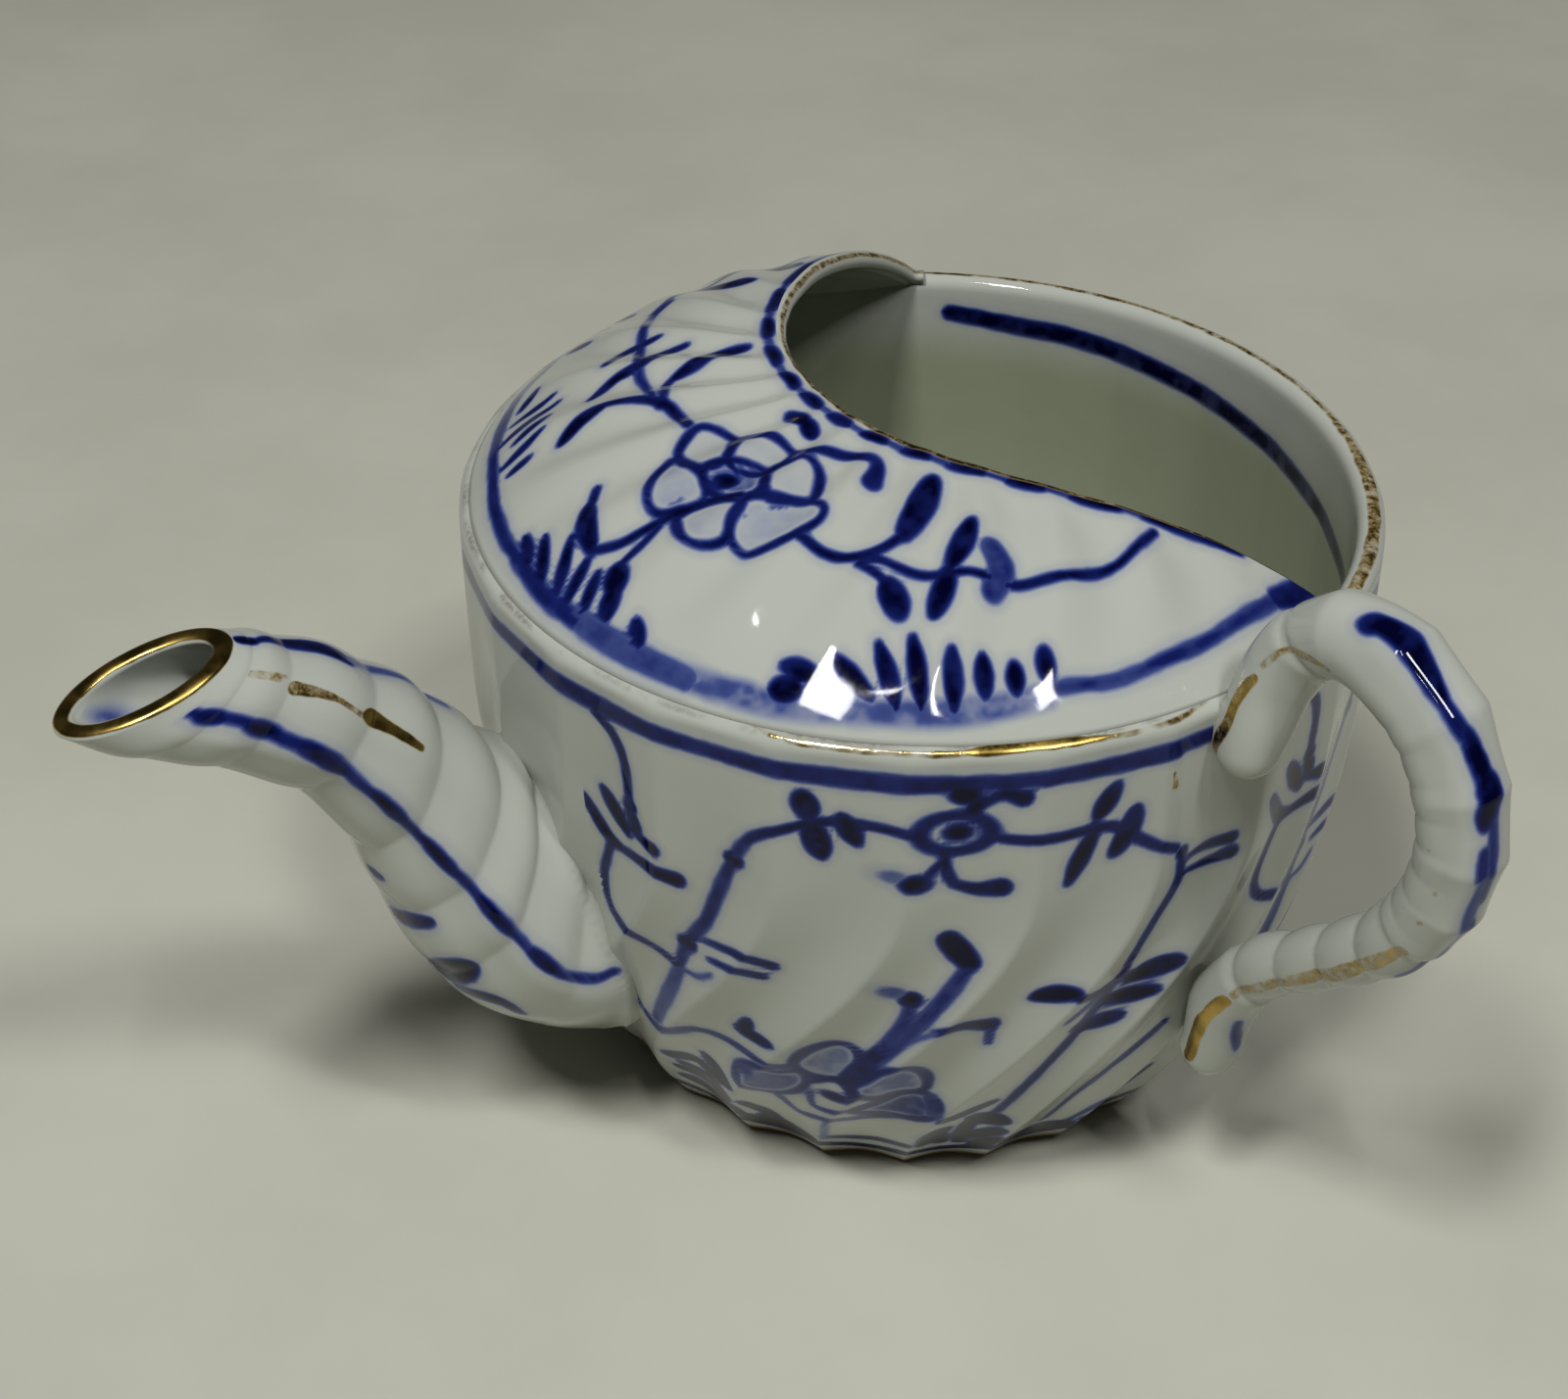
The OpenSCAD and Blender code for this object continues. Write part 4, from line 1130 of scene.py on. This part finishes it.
class Nodes:
    """A short way to write a material's nodes."""

    def __init__(self, name):
        self.material = bpy.data.materials.new(name)
        self.material.use_nodes = True
        self.tree = self.material.node_tree
        self.tree.nodes.clear()

    def add(self, kind, inputs=(), **settings):
        node = self.tree.nodes.new("ShaderNode" + kind)
        for name, value in settings.items():
            setattr(node, name, value)
        for key, value in dict(inputs).items():
            if isinstance(value, bpy.types.NodeSocket):
                self.tree.links.new(value, node.inputs[key])
            else:
                node.inputs[key].default_value = value
        return node

    def value(self, name):
        return self.add("Attribute", attribute_name=name).outputs["Fac"]

    def math(self, operation, first, second, clamp=False):
        node = self.add("Math", {0: first, 1: second}, operation=operation, use_clamp=clamp)
        return node.outputs[0]

    def times(self, first, second, clamp=False):
        return self.math("MULTIPLY", first, second, clamp)

    def plus(self, first, second, clamp=False):
        return self.math("ADD", first, second, clamp)

    def minus(self, first, second):
        return self.math("SUBTRACT", first, second)

    def noise(self, scale, detail=2.0, rough=0.5):
        place = self.add("TexCoord").outputs["Object"]
        inputs = {"Vector": place, "Scale": scale, "Detail": detail, "Roughness": rough}
        return self.add("TexNoise", inputs).outputs["Fac"]

    def ease(self, value, low, high, out_low=0.0, out_high=1.0):
        """Smoothly from out_low at low to out_high at high."""
        inputs = {"Value": value, "From Min": low, "From Max": high,
                  "To Min": out_low, "To Max": out_high}
        return self.add("MapRange", inputs, interpolation_type="SMOOTHSTEP").outputs["Result"]

    def mix(self, share, first, second):
        """A colour from the first to the second by a share."""
        return self.add("Mix", {0: share, 6: first, 7: second}, data_type="RGBA").outputs[2]

    def finish(self, inputs):
        """Ends the material in a shader with these inputs."""
        shader = self.add("BsdfPrincipled", inputs)
        output = self.add("OutputMaterial", {"Surface": shader.outputs[0]})
        output.is_active_output = True

    def ramp(self, value, *stops):
        node = self.add("ValToRGB", {"Fac": value})
        elements = node.color_ramp.elements
        while len(elements) < len(stops):
            elements.new(0.5)
        for element, (place, colour) in zip(elements, stops):
            element.position = place
            element.color = colour
        return node.outputs["Color"]


GLAZE = srgb(172, 175, 166)
# painted shade of the bowl's inside: a darker, greener glaze colour
PAINTED_INSIDE_SHADE = srgb(146, 152, 128)
# colours from the bare glaze to the thickest cobalt
COBALT = ((0.0, GLAZE), (0.2, srgb(134, 141, 160)), (0.45, srgb(64, 78, 132)), (0.72, srgb(20, 30, 94)),
          (1.0, srgb(1, 2, 34)))
RUBBED_LIP = srgb(98, 94, 82)
GOLD_TRACE = srgb(136, 120, 82)
GOLD_DARK, GOLD_LIGHT = srgb(132, 110, 54), srgb(184, 154, 82)
BARE_LIGHT, BARE_DARK = srgb(128, 104, 74), srgb(96, 78, 56)
TABLE_DARK, TABLE_LIGHT = srgb(184, 184, 170), srgb(190, 190, 176)
WAVE_HEIGHT = 0.00006   # metres
GOLD_HEIGHT = 0.00004   # metres


def painted_porcelain():
    n = Nodes("painted_porcelain")
    fine, broad, worn = n.noise(2200), n.noise(420), n.noise(1100, 4, 0.65)
    # the brush's edge wavers, and the cobalt bleeds a little into the glaze
    waver = n.times(n.minus(broad, 0.5), 0.5)
    ink_edge = n.plus(n.value("ink"), waver)
    body = n.ease(ink_edge, 0.5, -0.22)
    core = n.ease(ink_edge, 0.2, -0.6, 0.76, 1.0)
    pool = n.ease(broad, 0.25, 0.75, 0.85, 1.1)
    ink = n.times(n.times(body, core), n.times(n.value("ink_load"), pool))
    wash_edge = n.plus(n.value("wash"), waver)
    brushed = n.times(n.value("wash_load"), n.ease(broad, 0.3, 0.7, 0.7, 1.25))
    wash = n.times(n.ease(wash_edge, 0.4, -0.8), brushed)
    halo = n.ease(ink_edge, 1.2, 0.0, 0.0, 0.1)
    density = n.math("MAXIMUM", n.math("MAXIMUM", ink, wash), halo, clamp=True)
    unpainted = n.minus(1.0, density)
    painted = n.ramp(density, *COBALT)
    # painted shade inside the bowl, laid only on glaze that the paint leaves bare
    painted = n.mix(n.times(n.value("painted_inside_shade"), unpainted), painted, PAINTED_INSIDE_SHADE)
    # the lip's rubbed crest
    streaks = n.times(n.ease(n.noise(170, 3), 0.42, 0.6), n.ease(fine, 0.3, 0.62, 0.35, 1.0))
    rub = n.times(n.value("rubbed"), streaks, clamp=True)
    painted = n.mix(n.times(rub, 0.7), painted, RUBBED_LIP)
    # gilding: what is left of it is metal, and its worn margin is brown
    film = n.ease(n.plus(n.value("gold"), waver), 0.14, -0.12)
    left = n.minus(n.value("gold_load"), worn)
    gold = n.times(film, n.ease(left, -0.16, 0.16))
    trace = n.times(film, n.ease(left, -0.4, 0.0, 0.0, 0.7))
    colour = n.mix(trace, painted, GOLD_TRACE)
    colour = n.mix(gold, colour, n.mix(n.ease(broad, 0.3, 0.7), GOLD_DARK, GOLD_LIGHT))
    bare = n.value("bare")
    colour = n.mix(bare, colour, n.mix(broad, BARE_LIGHT, BARE_DARK))
    rough = n.ease(fine, 0.3, 0.7, 0.045, 0.07)
    rough = n.plus(rough, n.times(gold, n.ease(broad, 0.3, 0.7, 0.12, 0.24)))
    rough = n.plus(rough, n.times(rub, 0.3))
    rough = n.plus(rough, n.times(bare, 0.5), clamp=True)
    # the glaze lies in very low waves, and gold stands on it
    height = n.plus(n.times(n.noise(260, 1), WAVE_HEIGHT), n.times(gold, GOLD_HEIGHT))
    bump = n.add("Bump", {"Strength": 0.6, "Distance": 1.0, "Height": height}).outputs["Normal"]
    n.finish({"Base Color": colour, "Metallic": gold, "Roughness": rough, "Normal": bump,
              "IOR": 1.5, "Specular IOR Level": 0.2})
    return n.material


def table_top():
    n = Nodes("table_top")
    marks = n.noise(14, 5, 0.6)
    colour = n.mix(n.ease(marks, 0.35, 0.65), TABLE_DARK, TABLE_LIGHT)
    n.finish({"Base Color": colour, "Roughness": n.ease(marks, 0.3, 0.7, 0.5, 0.6)})
    return n.material


# --- camera, floor and light ------------------------------------------------------------------

CAMERA_PLACE = Vector((-0.1067, -0.1780, 0.1835))
CAMERA_TARGET = Vector((-0.0110, 0.0058, 0.0333))
LENS = 60.75
SENSOR = 36
TABLE_HALF = 1.5        # metres
LAMP_AWAY = 1.1         # metres from the cup to each lamp
LAMP_TARGET = Vector((0, 0, 0.035))
ROOM_LIGHT = 0.05


def aim(thing, target):
    thing.rotation_euler = (target - thing.location).to_track_quat("-Z", "Y").to_euler()


def make_camera():
    camera = bpy.data.objects.new("camera", bpy.data.cameras.new("camera"))
    camera.data.lens = LENS
    camera.data.sensor_width = SENSOR
    camera.data.clip_start = 0.01
    camera.location = CAMERA_PLACE
    aim(camera, CAMERA_TARGET)
    bpy.context.scene.collection.objects.link(camera)
    bpy.context.scene.camera = camera


def make_floor():
    corners = [(x * TABLE_HALF, y * TABLE_HALF, 0) for x, y in ((-1, -1), (1, -1), (1, 1), (-1, 1))]
    mesh = bpy.data.meshes.new("table")
    mesh.from_pydata(corners, [], [(0, 1, 2, 3)])
    mesh.materials.append(table_top())
    floor = bpy.data.objects.new("table", mesh)
    bpy.context.scene.collection.objects.link(floor)


def area_light(name, azimuth, elevation, wide, tall, power):
    """A window's light, aimed at the cup from a direction in degrees."""
    a, e = math.radians(azimuth), math.radians(elevation)
    data = bpy.data.lights.new(name, "AREA")
    data.shape = "RECTANGLE"
    data.size = wide
    data.size_y = tall
    data.energy = power
    light = bpy.data.objects.new(name, data)
    light.location = (LAMP_AWAY * math.cos(e) * math.cos(a), LAMP_AWAY * math.cos(e) * math.sin(a),
                      LAMP_AWAY * math.sin(e))
    aim(light, LAMP_TARGET)
    bpy.context.scene.collection.objects.link(light)


def make_light():
    world = bpy.data.worlds.new("room")
    world.use_nodes = True
    background = world.node_tree.nodes["Background"]
    background.inputs["Color"].default_value = srgb(236, 238, 230)
    background.inputs["Strength"].default_value = ROOM_LIGHT
    bpy.context.scene.world = world
    area_light("window_left", -149, 63, 0.13, 0.28, 6.9)
    area_light("window_middle", -112, 64, 0.025, 0.22, 1.5)
    area_light("window_right", -78, 59, 0.1, 0.16, 3.3)


# --- the scene --------------------------------------------------------------------------------

make_camera()
make_floor()
make_light()
glaze = painted_porcelain()
stands_for = (
    (make_bowl(), ("bowl", "rim_gilding")),
    (make_cover(), ("half_cover", "cover_edge_gilding")),
    (make_spout(), ("spout", "spout_lip_gilding")),
    (make_handle(), ("handle",)),
)
for piece, nodes in stands_for:
    piece.data.materials.append(glaze)
    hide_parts(*nodes)
    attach(piece, "root")

bpy.context.scene.view_settings.view_transform = "Standard"
